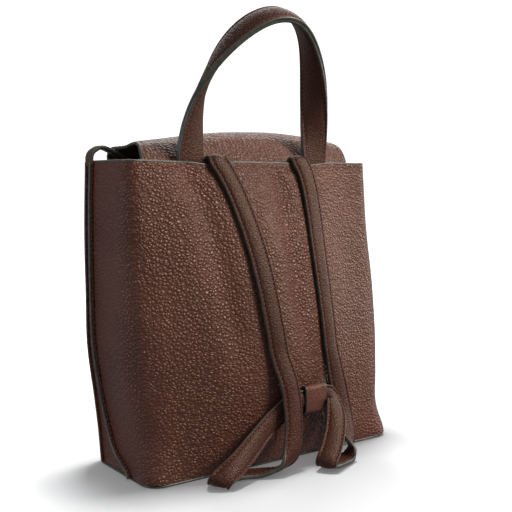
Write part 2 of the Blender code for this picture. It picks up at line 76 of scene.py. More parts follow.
def joint_mm(name):
    return np.array(joint(name)["pos_m"]) / MM


# ---- driving dimensions
HEIGHT = box_mm("back_panel")[1][2]
MID_HALF = box_mm("front_panel")[1][0]
TOP_HALF = MID_HALF - 3.5  # the sides draw in towards the top edge
BASE_LOW, BASE_HIGH = box_mm("base_panel")
BASE_LIP = 1.0  # how far the base's painted edge stands out
BASE_HALF = BASE_HIGH[0] - BASE_LIP
BASE_DEEP = BASE_HIGH[1] - BASE_LIP
FACING_FOOT = box_mm("body_lining")[1][2]
LEATHER = 2.0  # thickness

# the body's outline as (height, value) knots, from the base to the top edge
HALF_WIDTH = [(0, BASE_HALF), (35, BASE_HALF), (120, MID_HALF), (HEIGHT, TOP_HALF)]
BACK_LINE = [(0, BASE_DEEP), (HEIGHT, 15.0)]
FRONT_LINE = [(0, -BASE_DEEP), (HEIGHT, -63.0)]
BACK_CORNER = [(0, 15.0), (50, 24.0), (150, 24.0), (HEIGHT, 12.0)]
FRONT_CORNER = [(0, 15.0), (50, 9.0), (HEIGHT, 6.0)]
SIDE_SEAM = [(0, 22.0), (9, 9.0), (18, -8.0), (36, -20.0), (80, -32.0), (150, -40.0), (HEIGHT, -45.0)]
BACK_BELLY = 23.0  # how far the back bows out
BELLY_SHAPE = 0.75  # under 1 puts the widest place low
FRONT_BELLY = 5.0

HANDLE_HINGE = joint_mm("handle_tilt")
HANDLE_X = (box_mm("handle_tab_left")[0][0] + box_mm("handle_tab_left")[1][0]) / 2
HANDLE_RISE = 125.5  # from its feet to its top
HANDLE_SKEW = -6.0  # how far its top hangs to the right
HANDLE_LEAN = 33.0  # how far its top hangs over the back
LEAN_SHAPE = 2.24  # over 1 keeps the lean near the top
ARCH_SHAPE = 0.9  # under 1 makes the arch's shoulders square
TWIST_SPAN = 0.75  # share of each leg that the quarter twist takes
STRAP_HINGE = joint_mm("strap_left_swing")
LEFT_TOP_X = STRAP_HINGE[0]
RIGHT_TOP_X = joint_mm("strap_right_swing")[0]
FLAP_END = box_mm("flap_front")[0][2]
KEEPER_LOW, KEEPER_HIGH = box_mm("strap_keeper")


# ---- curves and surfaces
def through(knots, at):
    """Values of a smooth curve through (position, value) knots, at one place or many."""
    places = np.array([k[0] for k in knots], float)
    values = np.array([k[1] for k in knots], float)
    flat = values.ndim == 1
    if flat:
        values = values[:, None]
    low = np.maximum(np.arange(len(places)) - 1, 0)
    high = np.minimum(np.arange(len(places)) + 1, len(places) - 1)
    slopes = (values[high] - values[low]) / (places[high] - places[low])[:, None]
    at = np.clip(np.asarray(at, float), places[0], places[-1])
    i = np.clip(np.searchsorted(places, at, side="right") - 1, 0, len(places) - 2)
    span = (places[i + 1] - places[i])[..., None]
    t = (at - places[i])[..., None] / span
    rise = t * t * (3 - 2 * t)
    found = (values[i] * (1 - rise) + values[i + 1] * rise
             + slopes[i] * span * t * (1 - t) ** 2 - slopes[i + 1] * span * t * t * (1 - t))
    return found[..., 0] if flat else found


def smooth(x, low=0.0, high=1.0):
    """A soft step from 0 at low to 1 at high."""
    t = np.clip((np.asarray(x, float) - low) / (high - low), 0, 1)
    return t * t * (3 - 2 * t)


def hump(x, centre, width):
    """A soft bump of height 1."""
    return np.exp(-((np.asarray(x, float) - centre) / width) ** 2)


def unit(v):
    v = np.asarray(v, float)
    return v / np.linalg.norm(v, axis=-1, keepdims=True)


def belly(z, full, shape):
    """How far a panel bows out at one height."""
    return full * np.sin(np.pi * np.clip(z / HEIGHT, 0, 1) ** shape)


def across(x, z):
    """The share of that bow at x: 1 in the middle, 0 at the sides."""
    return np.clip(1 - (x / through(HALF_WIDTH, z)) ** 2, 0, 1) ** 2


def back_y(x, z):
    return through(BACK_LINE, z) + belly(z, BACK_BELLY, BELLY_SHAPE) * across(x, z)


def front_y(x, z):
    return through(FRONT_LINE, z) - belly(z, FRONT_BELLY, 1.0) * across(x, z)


def arc(centre, radius, start, steps):
    """A quarter turn from the angle start, without its last point."""
    turns = np.radians(start + 90.0 * np.arange(steps) / steps)
    return np.stack([centre[0] + radius * np.cos(turns), centre[1] + radius * np.sin(turns)], 1)


def line(start, end, steps):
    """A straight line without its last point."""
    t = np.arange(steps)[:, None] / steps
    return np.asarray(start) + (np.asarray(end) - np.asarray(start)) * t


# columns of the body's ring, in order from the left front corner
GUSSET_N, WRAP_N, CORNER_N, FRONT_CORNER_N, FACE_N = 12, 14, 12, 6, 72
PARTS = [("gusset_left", GUSSET_N), ("wrap_left", WRAP_N), ("corner_left", CORNER_N), ("face", FACE_N),
         ("corner_right", CORNER_N), ("wrap_right", WRAP_N), ("gusset_right", GUSSET_N),
         ("front_corner_right", FRONT_CORNER_N), ("front", FACE_N), ("front_corner_left", FRONT_CORNER_N)]
RING_N = sum(n for _, n in PARTS)


def first_column(part):
    total = 0
    for name, count in PARTS:
        if name == part:
            return total
        total += count


GUSSET_LEFT = (0, first_column("wrap_left"))
BACK = (first_column("wrap_left"), first_column("gusset_right"))
GUSSET_RIGHT = (first_column("gusset_right"), first_column("front_corner_right"))
FRONT = (first_column("front_corner_right"), RING_N)
PANELS = (("back_panel", BACK), ("gusset_left", GUSSET_LEFT), ("gusset_right", GUSSET_RIGHT),
          ("front_panel", FRONT))


def ring(z):
    """The body's outline at one height, counter-clockwise from the left front corner."""
    half, back, front = through(HALF_WIDTH, z), through(BACK_LINE, z), through(FRONT_LINE, z)
    rb, rf, seam = through(BACK_CORNER, z), through(FRONT_CORNER, z), through(SIDE_SEAM, z)
    flat = np.concatenate([
        line((half, front + rf), (half, seam), GUSSET_N), line((half, seam), (half, back - rb), WRAP_N),
        arc((half - rb, back - rb), rb, 0, CORNER_N), line((half - rb, back), (rb - half, back), FACE_N),
        arc((rb - half, back - rb), rb, 90, CORNER_N), line((-half, back - rb), (-half, seam), WRAP_N),
        line((-half, seam), (-half, front + rf), GUSSET_N),
        arc((rf - half, front + rf), rf, 180, FRONT_CORNER_N),
        line((rf - half, front), (half - rf, front), FACE_N),
        arc((half - rf, front + rf), rf, 270, FRONT_CORNER_N)])
    rows = np.column_stack([flat, np.full(len(flat), z)])
    behind = rows[:, 1] > seam
    ahead = rows[:, 1] < front + rf - 1e-6
    rows[behind, 1] += (back_y(rows[:, 0], z) - back)[behind]
    rows[ahead, 1] += (front_y(rows[:, 0], z) - front)[ahead]
    return rows


def grid_normals(grid, closed):
    """Unit normals of a grid: columns direction cross rows direction."""
    if closed:
        along = np.roll(grid, -1, axis=1) - np.roll(grid, 1, axis=1)
    else:
        along = np.gradient(grid, axis=1)
    return unit(np.cross(along, np.gradient(grid, axis=0)))


def ripple(points, size, seed):
    """Soft noise from -1 to 1, one value a point; size is the wavelength (mm) in x, y and z."""
    flat = np.asarray(points).reshape(-1, 3) / np.asarray(size)
    found = [noise.noise(Vector((p[0] + seed, p[1] - seed, p[2]))) for p in flat]
    return np.array(found).reshape(np.asarray(points).shape[:-1])


# ---- mesh makers
def add_mesh(name, verts, faces, mats, picks=None, sharp=50.0):
    """An object from millimetre points; picks says which of mats each face takes."""
    mesh = bpy.data.meshes.new(name)
    mesh.from_pydata((np.asarray(verts) * MM).tolist(), [], [list(map(int, f)) for f in faces])
    mesh.validate()
    for mat in mats:
        mesh.materials.append(mat)
    if picks is not None:
        mesh.polygons.foreach_set("material_index", np.asarray(picks, np.int32))
    mesh.shade_smooth()
    mesh.set_sharp_from_angle(angle=math.radians(sharp))
    item = bpy.data.objects.new(name, mesh)
    bpy.context.scene.collection.objects.link(item)
    return item


def quads(rows, cols, closed_rows=False, closed_cols=False):
    """The faces of a grid whose points are numbered row by row."""
    r = np.arange(rows if closed_rows else rows - 1)
    c = np.arange(cols if closed_cols else cols - 1)
    r, c = [a.ravel() for a in np.meshgrid(r, c, indexing="ij")]
    r2, c2 = (r + 1) % rows, (c + 1) % cols
    return np.stack([r * cols + c, r * cols + c2, r2 * cols + c2, r2 * cols + c], 1)


def caps(rows, cols):
    """The two end faces of a grid that closes on itself across its columns."""
    last = (rows - 1) * cols
    return [list(range(cols))[::-1], list(range(last, last + cols))]


def outward(verts, faces):
    """The same faces, all turned round if they enclose a negative volume."""
    a, b, c = (verts[[f[i] for f in faces]] for i in range(3))
    return [f[::-1] for f in faces] if np.einsum("ij,ij->i", a, np.cross(b, c)).sum() < 0 else faces


def sheet(name, outer, inner, mats, closed=False):
    """A sheet between two grids. mats are for the outside, the inside and the cut edge."""
    rows, cols = outer.shape[:2]
    shift = rows * cols
    face = quads(rows, cols, closed_cols=closed)
    c = np.arange(cols if closed else cols - 1)
    c2 = (c + 1) % cols
    top = (rows - 1) * cols
    rims = [np.stack([top + c, top + c2, top + c2 + shift, top + c + shift], 1),
            np.stack([c2, c, c + shift, c2 + shift], 1)]
    if not closed:
        r = np.arange(rows - 1) * cols
        rims.append(np.stack([r + shift, r, r + cols, r + cols + shift], 1))
        end = r + cols - 1
        rims.append(np.stack([end, end + shift, end + cols + shift, end + cols], 1))
    rim = np.concatenate(rims)
    faces = np.concatenate([face, face[:, ::-1] + shift, rim])
    picks = [0] * len(face) + [1] * len(face) + [2] * len(rim)
    verts = np.concatenate([outer.reshape(-1, 3), inner.reshape(-1, 3)])
    return add_mesh(name, verts, faces, mats, picks)


def path_frames(points, normals):
    """Unit directions along a path, away from its face and to its side."""
    along = unit(np.gradient(np.asarray(points, float), axis=0))
    normals = np.asarray(normals, float)
    normals = unit(normals - (normals * along).sum(1, keepdims=True) * along)
    return along, normals, np.cross(along, normals)


def sweep(name, points, normals, profile, picks, mats):
    """A closed (side, normal) profile carried along a path, with flat ends."""
    points = np.asarray(points, float)
    _, up, side = path_frames(points, normals)
    profile = np.asarray(profile, float)
    if profile.ndim == 2:
        profile = np.repeat(profile[None], len(points), 0)
    rings = points[:, None] + side[:, None] * profile[:, :, :1] + up[:, None] * profile[:, :, 1:]
    rows, cols = rings.shape[:2]
    verts = rings.reshape(-1, 3)
    faces = outward(verts, quads(rows, cols, closed_cols=True).tolist() + caps(rows, cols))
    return add_mesh(name, verts, faces, mats, list(np.tile(picks, rows - 1)) + [picks[0]] * 2)


def both_sides(half):
    """A profile's left half and its mirror image."""
    return half + [(-s, h) for s, h in reversed(half[:-1])]


TUBE_SIDES = 10


def tube(name, points, radius, mat, closed=False):
    """A round bead along a path."""
    points = np.asarray(points, float)
    if closed:
        along = unit(np.roll(points, -1, axis=0) - np.roll(points, 1, axis=0))
    else:
        along = unit(np.gradient(points, axis=0))
    up = np.zeros_like(points)
    current = np.cross(along[0], (0.3, 0.5, 0.81))
    for i, t in enumerate(along):
        current = current - current.dot(t) * t
        current = current / np.linalg.norm(current)
        up[i] = current
    side = np.cross(along, up)
    turns = np.arange(TUBE_SIDES) * 2 * np.pi / TUBE_SIDES
    rings = (points[:, None] + radius * (np.cos(turns)[None, :, None] * up[:, None]
                                         + np.sin(turns)[None, :, None] * side[:, None]))
    rows = len(points)
    faces = quads(rows, TUBE_SIDES, closed_rows=closed, closed_cols=True).tolist()
    verts = rings.reshape(-1, 3)
    if not closed:
        faces += caps(rows, TUBE_SIDES)
    return add_mesh(name, verts, outward(verts, faces), [mat], sharp=80)


def run_along(points):
    """The distance of each point from the first, along the path."""
    return np.concatenate([[0], np.cumsum(np.linalg.norm(np.diff(points, axis=0), axis=1))])


def resample(points, normals, step):
    """Evenly spaced places on a line, with the face's direction and the line's."""
    points, normals = np.asarray(points, float), np.asarray(normals, float)
    run = run_along(points)
    count = max(int(run[-1] / step), 1)
    at = (np.arange(count) + 0.5) * run[-1] / count
    place, facing, ahead, behind = (
        np.stack([np.interp(spots, run, values[:, i]) for i in range(3)], 1)
        for spots, values in ((at, points), (at, normals), (at + 0.5, points), (at - 0.5, points)))
    return place, unit(facing), unit(ahead - behind)


STITCH_PITCH = 4.1
STITCH_SHAPE = ((-1.35, 0.10), (-1.05, 0.34), (-0.4, 0.42), (0.4, 0.42), (1.05, 0.34), (1.35, 0.10))
STITCH_SIDES = 6
STITCH_LIFT = 0.12  # how far a stitch's middle stands off the leather
STITCH_LEAN = 0.10  # saddle stitches lie a little askew
STITCH_FLAT = 0.8


def stitches(name, lines):
    """Thread along several (points, normals) lines, one small rounded body a stitch."""
    verts, faces = [], []
    turns = np.arange(STITCH_SIDES) * 2 * np.pi / STITCH_SIDES
    rings = len(STITCH_SHAPE)
    body = quads(rings, STITCH_SIDES, closed_cols=True).tolist() + caps(rings, STITCH_SIDES)
    body = [f[::-1] for f in body]
    for points, normals in lines:
        place, facing, along = resample(points, normals, STITCH_PITCH)
        side = unit(np.cross(along, facing))
        facing = np.cross(side, along)
        for p, n, t, s in zip(place, facing, along, side):
            base = len(verts)
            lean = unit(t + STITCH_LEAN * s)
            for x, r in STITCH_SHAPE:
                for a in turns:
                    rise = STITCH_LIFT + STITCH_FLAT * r * math.sin(a)
                    verts.append(p + n * rise + lean * x + s * r * math.cos(a))
            faces += [[base + i for i in f] for f in body]
    return add_mesh(name, verts, faces, [THREAD], sharp=80)


# ---- materials
class Nodes:
    """Short helpers for one node tree."""

    def __init__(self, name):
        self.mat = bpy.data.materials.new(name)
        self.mat.use_nodes = True
        self.tree = self.mat.node_tree
        self.shader = self.tree.nodes["Principled BSDF"]
        self.place = self.add("ShaderNodeTexCoord").outputs["Object"]

    def add(self, kind, **settings):
        node = self.tree.nodes.new(kind)
        for key, value in settings.items():
            setattr(node, key, value)
        return node

    def link(self, source, target):
        self.tree.links.new(source, target)

    def put(self, value, socket):
        """Links an output, or sets a number or a colour."""
        if isinstance(value, bpy.types.NodeSocket):
            self.link(value, socket)
        else:
            socket.default_value = value

    def feed(self, node, **values):
        """Fills inputs by name, with _ for a space."""
        for key, value in values.items():
            self.put(value, node.inputs[key.replace("_", " ")])
        return node

    def math(self, operation, a, b):
        node = self.add("ShaderNodeMath", operation=operation)
        self.put(a, node.inputs[0])
        self.put(b, node.inputs[1])
        return node.outputs[0]

    def noise(self, scale, detail=2.0, rough=0.5):
        node = self.add("ShaderNodeTexNoise")
        return self.feed(node, Vector=self.place, Scale=scale, Detail=detail, Roughness=rough).outputs["Fac"]

    def spread(self, value, low, high, out_low=0.0, out_high=1.0):
        """A soft step from out_low to out_high while the value goes from low to high."""
        node = self.add("ShaderNodeMapRange", interpolation_type="SMOOTHSTEP")
        return self.feed(node, Value=value, From_Min=low, From_Max=high,
                         To_Min=out_low, To_Max=out_high).outputs["Result"]

    def mix(self, share, low, high):
        """A colour between two, as the share goes from 0 to 1."""
        node = self.add("ShaderNodeMix", data_type="RGBA")
        self.link(share, node.inputs["Factor"])
        for socket, value in ((node.inputs[6], low), (node.inputs[7], high)):
            self.put((*value, 1.0) if isinstance(value, tuple) else value, socket)
        return node.outputs[2]

    def wobble(self, scale, amount):
        """The object's coordinates pushed about by noise."""
        node = self.add("ShaderNodeTexNoise")
        self.feed(node, Vector=self.place, Scale=scale, Detail=1.0)
        move = self.add("ShaderNodeVectorMath", operation="MULTIPLY_ADD")
        self.link(node.outputs["Color"], move.inputs[0])
        move.inputs[1].default_value = (amount,) * 3
        self.link(self.place, move.inputs[2])
        return move.outputs[0]

    def surface(self, tone, height=None, depth=0.0, **values):
        """Fills the shader: its colour, a bump of this depth in metres, and its other inputs."""
        if height is not None:
            bump = self.feed(self.add("ShaderNodeBump"), Strength=1.0, Distance=depth, Height=height)
            self.link(bump.outputs["Normal"], self.shader.inputs["Normal"])
        self.feed(self.shader, Base_Color=tone, **values)
        return self.mat


PEBBLE_STRETCH = (1.0, 1.0, 1.22)  # the grain lies a little wider than high
WARM_GLOSS = (1.0, 0.80, 0.64, 1.0)  # dark wax tints the gloss


def leather(name, peak, valley, grain, depth, rough, shine):
    """Pebbled leather: rounded pebbles with creases between them, fine pores and a patchy tone.

    grain is pebbles a metre, depth their height in metres, peak the pebble tops' colour and valley the darker
    colour of the creases between them, a painted shade.
    """
    n = Nodes(name)
    wobbled = n.wobble(grain * 0.40, 0.8 / grain)
    warped = n.feed(n.add("ShaderNodeMapping"), Vector=wobbled, Scale=PEBBLE_STRETCH).outputs[0]
    edge, centre = (n.feed(n.add("ShaderNodeTexVoronoi", feature=kind), Vector=warped, Scale=grain,
                           Randomness=0.9).outputs["Distance"] for kind in ("DISTANCE_TO_EDGE", "F1"))
    crease = n.spread(edge, 0.0, 0.20)
    dome = n.spread(centre, 0.05, 0.72, 1.0, 0.0)
    fine = n.noise(grain * 7.0, 2.0)
    height = n.math("ADD", n.math("MULTIPLY", dome, 0.62), n.math("MULTIPLY", crease, 0.30))
    height = n.math("ADD", height, n.math("MULTIPLY", fine, 0.03))
    # painted shade: the creases between the pebbles take the darker valley colour
    tone = n.mix(n.spread(height, 0.12, 0.70), valley, peak)
    worn = tuple(c * 1.22 + 0.002 for c in peak)
    patch = n.spread(n.noise(16.0, 2.0), 0.35, 0.68)
    tone = n.mix(n.math("MULTIPLY", patch, 0.45), tone, worn)
    red = (peak[0] * 0.95, peak[1] * 0.70, peak[2] * 0.66)
    tone = n.mix(n.spread(n.noise(9.0, 1.0), 0.45, 0.75, 0.0, 0.55), tone, red)
    pores = n.math("MULTIPLY", fine, 0.06)
    gloss = n.math("ADD", n.spread(height, 0.1, 0.8, rough + 0.18, rough), pores)
    return n.surface(tone, height, depth, Roughness=gloss, Specular_IOR_Level=shine, Specular_Tint=WARM_GLOSS)


def edge_paint():
    """The dark, slightly shiny paint on the cut edges."""
    n = Nodes("edge_paint")
    tone = n.mix(n.spread(n.noise(120.0, 3.0), 0.35, 0.7), (0.030, 0.029, 0.021), (0.056, 0.054, 0.040))
    return n.surface(tone, n.noise(700.0), 0.00012, Roughness=0.42)


def thread():
    """Waxed sewing thread with its twist."""
    n = Nodes("thread")
    twist = n.add("ShaderNodeTexWave", bands_direction="DIAGONAL")
    n.feed(twist, Vector=n.place, Scale=900.0)
    tone = n.mix(twist.outputs["Fac"], (0.085, 0.028, 0.018), (0.17, 0.062, 0.042))
    return n.surface(tone, twist.outputs["Fac"], 0.00008, Roughness=0.62)


def flesh_side():
    """The matt, fibrous back of the leather."""
    n = Nodes("leather_flesh_side")
    fibre = n.noise(900.0, 4.0, 0.7)
    tone = n.mix(n.spread(fibre, 0.3, 0.7), (0.060, 0.026, 0.018), (0.100, 0.047, 0.033))
    return n.surface(tone, fibre, 0.0003, Roughness=0.88, Sheen_Weight=0.06, Sheen_Roughness=0.5,
                     Specular_IOR_Level=0.2)


def weave(name, low, high, threads):
    """Plain weave: two crossed sets of threads."""
    n = Nodes(name)
    bands = []
    for direction in ("X", "Z"):
        wave = n.add("ShaderNodeTexWave", bands_direction=direction)
        n.feed(wave, Vector=n.wobble(60.0, 0.0008), Scale=threads, Distortion=0.4)
        bands.append(wave.outputs["Fac"])
    height = n.math("MAXIMUM", *bands)
    tone = n.mix(n.math("MULTIPLY", height, n.spread(n.noise(40.0), 0.2, 0.9, 0.6, 1.0)), low, high)
    return n.surface(tone, height, 0.0003, Roughness=0.85, Sheen_Weight=0.15)


def nickel():
    """Satin nickel with fine scratches."""
    n = Nodes("nickel")
    stretched = n.feed(n.add("ShaderNodeMapping"), Vector=n.place, Scale=(1.0, 1.0, 18.0)).outputs[0]
    scratch = n.feed(n.add("ShaderNodeTexNoise"), Vector=stretched, Scale=260.0, Detail=3.0)
    gloss = n.spread(scratch.outputs["Fac"], 0.3, 0.7, 0.20, 0.36)
    tone = n.mix(scratch.outputs["Fac"], (0.48, 0.46, 0.43), (0.62, 0.60, 0.56))
    return n.surface(tone, Roughness=gloss, Metallic=1.0)


def fibre_board():
    """Pressed board with short fibres."""
    n = Nodes("fibre_board")
    grain = n.noise(300.0, 4.0, 0.7)
    tone = n.mix(grain, (0.16, 0.12, 0.09), (0.30, 0.24, 0.18))
    return n.surface(tone, grain, 0.0002, Roughness=0.95)


PEBBLED = leather("leather_pebbled", peak=(0.088, 0.0295, 0.0200), valley=(0.052, 0.0155, 0.0105),
                  grain=300.0, depth=0.0007, rough=0.31, shine=0.40)
SMOOTH = leather("leather_strap", peak=(0.050, 0.0168, 0.0115), valley=(0.034, 0.0108, 0.0074),
                 grain=430.0, depth=0.0003, rough=0.34, shine=0.25)
# the keeper is the strap's leather in lighter colours: a painted highlight, a lit copy of SMOOTH
KEEPER = leather("leather_keeper", peak=(0.105, 0.038, 0.027), valley=(0.070, 0.0235, 0.0165),
                 grain=430.0, depth=0.0003, rough=0.32, shine=0.35)
PAINT = edge_paint()
THREAD = thread()
FLESH = flesh_side()
CLOTH = weave("lining_cloth", (0.10, 0.07, 0.055), (0.22, 0.165, 0.13), 520.0)
METAL = nickel()
BOARD = fibre_board()


def settle(item, slot, *nodes, body="bag_body"):
    """Rides on one body and hides the CAD nodes it stands for; slot is not used."""
    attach(item, body)
    if nodes:
        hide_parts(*nodes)
    return item


def bend(item, first, second, start, end, slot, *nodes):
    """Bakes the item's transform into its mesh and hides the CAD nodes it stands for; first, second, start,
    end and slot are not used.
    """
    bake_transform(item)
    if nodes:
        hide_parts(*nodes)
    return item


# ---- body
# where each strap runs on the back, as (height, x) knots
LEFT_RUN = [(100, 11.0), (126, 14.0), (160, 17.0), (195, 21.5), (230, 29.0), (257, 38.0),
            (HEIGHT, LEFT_TOP_X)]
RIGHT_RUN = [(100, -52.5), (120, -51.5), (155, -51.0), (192, -51.5), (228, -53.0), (257, -52.0),
             (HEIGHT, RIGHT_TOP_X)]

ROWS = np.concatenate([np.linspace(2.7, 22, 12), np.linspace(26, 246, 50), np.linspace(250, HEIGHT, 8)])
SOFT_RIPPLES = ((2.0, (70, 60, 95), 3.1), (0.7, (26, 26, 60), 8.7))  # height, wavelengths, seed
# the pulled valley beside each strap: the strap's run, how far beside, how deep and how wide
STRAP_VALLEYS = ((LEFT_RUN, 37.0, 3.8, 13.0), (RIGHT_RUN, 32.0, 3.2, 9.5))
STRAP_RIDGE = 0.8  # the low ridge on the strap's other side
SIDE_BULGE = 2.6
CORNER_FLARE = 2.6  # the back's lower corners stand out at the floor
CORNER_PINCH = 1.6  # and draw in above it
TOP_DIP = 2.4


def top_dip(x):
    """How far the back's top edge sinks where the straps and handle legs pull on it."""
    dip = 0.0
    for side in (LEFT_TOP_X, RIGHT_TOP_X):
        dip = dip + TOP_DIP * hump(x, side * 1.18, 17.0)
    return dip


def body_skin():
    """Outside of the body as one closed grid, with the soft shape that hand-sewn leather takes."""
    grid = np.array([ring(z) for z in ROWS])
    normals = grid_normals(grid, closed=True)
    x, y, z = grid[..., 0], grid[..., 1], grid[..., 2]
    free = smooth(z, 4, 45) * (1 - 0.6 * smooth(z, 235, HEIGHT))
    move = np.zeros(z.shape)
    for high, size, seed in SOFT_RIPPLES:
        move += high * ripple(grid, size, seed) * free
    back = smooth(y, -5, 12)
    pull = smooth(z, 70, 140) * (1 - 0.5 * smooth(z, 245, 268)) * back
    for run, beside, deep, wide in STRAP_VALLEYS:
        centre = through(run, np.clip(z, run[0][0], HEIGHT))
        move -= deep * hump(x - centre, beside, wide) * pull
        move += STRAP_RIDGE * hump(x - centre, -22.0, 14.0) * pull
    move += SIDE_BULGE * (hump(z, 130, 85) * smooth(np.abs(x), 120, 134))
    corner = hump(np.abs(x), BASE_HALF - 6, 16.0) * hump(y, BASE_DEEP - 10, 20.0)
    move += CORNER_FLARE * corner * hump(z, 5, 13.0)
    move -= CORNER_PINCH * corner * hump(z, 36, 16.0)
    grid = grid + normals * move[..., None]
    grid[..., 2] -= top_dip(x) * back * smooth(z, 205, HEIGHT)
    return grid


def body_layer(grid, depth):
    """The same grid at a depth under its surface."""
    return grid - grid_normals(grid, closed=True) * depth


def take(grid, columns):
    """One part of the ring, its last column included."""
    start, end = columns
    return grid[:, [c % RING_N for c in range(start, end + 1)]]


def make_body(skin):
    """The four leather panels of the body and the paint on their top edges."""
    under = body_layer(skin, LEATHER)
    mats = [PEBBLED, FLESH, PAINT]
    middle = body_layer(skin, LEATHER / 2)[-1:]
    for name, columns in PANELS:
        item = sheet("leather_" + name, take(skin, columns), take(under, columns), mats)
        settle(item, "pebbled_leather", name)
    for name, columns in sorted(PANELS):
        rim = take(middle, columns)[0] + (0, 0, 0.15)
        bead = tube("top_edge_paint_" + name.replace("_panel", ""), rim, LEATHER / 2 + 0.25, PAINT)
        settle(bead, "pebbled_leather")


def skin_line(skin, column):
    """A line up the body at one column, with its normals."""
    c = column % RING_N
    return skin[:, c], grid_normals(skin, closed=True)[:, c]


SEAM_PROFILE = [(-1.7, -0.8), (1.7, -0.8), (1.75, 1.6), (1.65, 3.0), (1.2, 3.7), (0.5, 4.0), (-0.5, 4.0),
                (-1.2, 3.7), (-1.65, 3.0), (-1.75, 1.6)]
SEAM_PICKS = [0, 0, 0, 1, 1, 1, 1, 1, 0, 0]
FRONT_SEAM_SCALE = (0.8, 0.62)


def make_side_seams(skin):
    """Raised seams: two raw edges sewn together and painted, standing out from the bag."""
    lines = []
    for seam, scale, columns in (("side", (1, 1), BACK), ("front", FRONT_SEAM_SCALE, FRONT[::-1])):
        for word, column in zip(("left", "right"), columns):
            points, normals = skin_line(skin, column)
            item = sweep("%s_seam_%s" % (seam, word), points, normals, np.array(SEAM_PROFILE) * scale,
                         SEAM_PICKS, [PEBBLED, PAINT])
            settle(item, "pebbled_leather")
            if seam == "side":
                _, up, side = path_frames(points, normals)
                toward = side if side[len(side) // 2][1] > 0 else -side
                lines.append((points + up * 1.5 + toward * 1.75, toward))
    settle(stitches("side_seam_stitches", lines), "pebbled_leather")


TOP_STITCH_DROP = 3.6


def make_top_stitches(skin):
    """The row of stitches a little below the top edge of the back and the front."""
    normals = grid_normals(skin, closed=True)
    lines = []
    for start, end in ((BACK[0] + 1, BACK[1] - 1), (FRONT[0] + 1, FRONT[1] - 1)):
        columns = [c % RING_N for c in range(start, end + 1)]
        top, below = skin[-1, columns], skin[-3, columns]
        share = (TOP_STITCH_DROP / (top[:, 2] - below[:, 2]))[:, None]
        lines.append((top * (1 - share) + below * share, normals[-2, columns]))
    settle(stitches("top_edge_stitches", lines), "pebbled_leather")


def make_base():
    """Base panel with its painted edge, sewn on all round."""
    outline = ring(0.0)
    thick = BASE_HIGH[2] - BASE_LOW[2]
    away = unit(np.cross(np.roll(outline, -1, axis=0) - np.roll(outline, 1, axis=0), (0, 0, 1)))
    rings, picks = [], []
    for out, z in ((-2.5, 0.0), (BASE_LIP - 1.0, 0.0), (BASE_LIP, 0.5), (BASE_LIP + 0.35, thick / 2),
                   (BASE_LIP, thick - 0.4), (BASE_LIP - 0.8, thick), (-2.5, thick)):
        ring_points = outline + away * out
        ring_points[:, 2] = z
        rings.append(ring_points)
    grid = np.array(rings)
    count = grid.shape[1]
    faces = quads(len(rings), count, closed_cols=True).tolist()
    for row in range(len(rings) - 1):
        picks += [1 if 1 <= row <= 4 else 0] * count
    faces += caps(len(rings), count)
    item = add_mesh("leather_base", grid.reshape(-1, 3), faces, [PEBBLED, PAINT], picks + [0, 0])
    settle(item, "pebbled_leather", "base_panel")
    board = frame["nodes"]["base_stiffener"].data.materials
    board.clear()
    board.append(BOARD)


LINING_GAP = 0.7
CLOTH_THICK = 0.7
FACING_GAP, FACING_THICK = 0.3, 1.1


def make_lining(skin):
    """Cloth bag inside, with soft wrinkles, and the leather facings above it."""
    keep = ROWS <= FACING_FOOT + 0.5
    outer = body_layer(skin, LEATHER + LINING_GAP)[keep]
    wrinkle = 0.5 + 0.5 * ripple(outer, (22, 22, 34), 5.5)
    outer = outer - grid_normals(outer, closed=True) * (wrinkle * smooth(outer[..., 2], 8, 60))[..., None]
    inner = outer - grid_normals(outer, closed=True) * CLOTH_THICK
    floor_z = box_mm("base_stiffener")[1][2] + 0.5
    outer[..., 2] = np.maximum(outer[..., 2], floor_z)
    inner[..., 2] = np.maximum(inner[..., 2], floor_z + CLOTH_THICK)
    rows, cols = outer.shape[:2]
    shift = rows * cols
    side = quads(rows, cols, closed_cols=True)
    c = np.arange(cols)
    top = (rows - 1) * cols
    rim = np.stack([top + c, top + (c + 1) % cols, top + (c + 1) % cols + shift, top + c + shift], 1)
    faces = side.tolist() + (side[:, ::-1] + shift).tolist() + rim.tolist()
    faces += [list(range(cols))[::-1], list(range(shift, shift + cols))]
    verts = np.concatenate([outer.reshape(-1, 3), inner.reshape(-1, 3)])
    settle(add_mesh("cloth_lining", verts, faces, [CLOTH]), "lining_fabric", "body_lining")
    keep = ROWS >= FACING_FOOT + 0.5
    for name, columns in (("back_facing", (BACK[0] + WRAP_N // 2, BACK[1] - WRAP_N // 2)),
                          ("front_facing", (FRONT[0] + 1, FRONT[1] - 1))):
        near = take(body_layer(skin, LEATHER + FACING_GAP)[keep], columns)
        far = take(body_layer(skin, LEATHER + FACING_GAP + FACING_THICK)[keep], columns)
        item = sheet("leather_" + name, near, far, [FLESH, SMOOTH, PAINT])
        settle(item, "suede", name)


POCKET_OFF = 5.2  # from the front's skin to the pocket's sewn sides
POCKET_THICK = 0.8
POCKET_HEM = 0.95  # radius


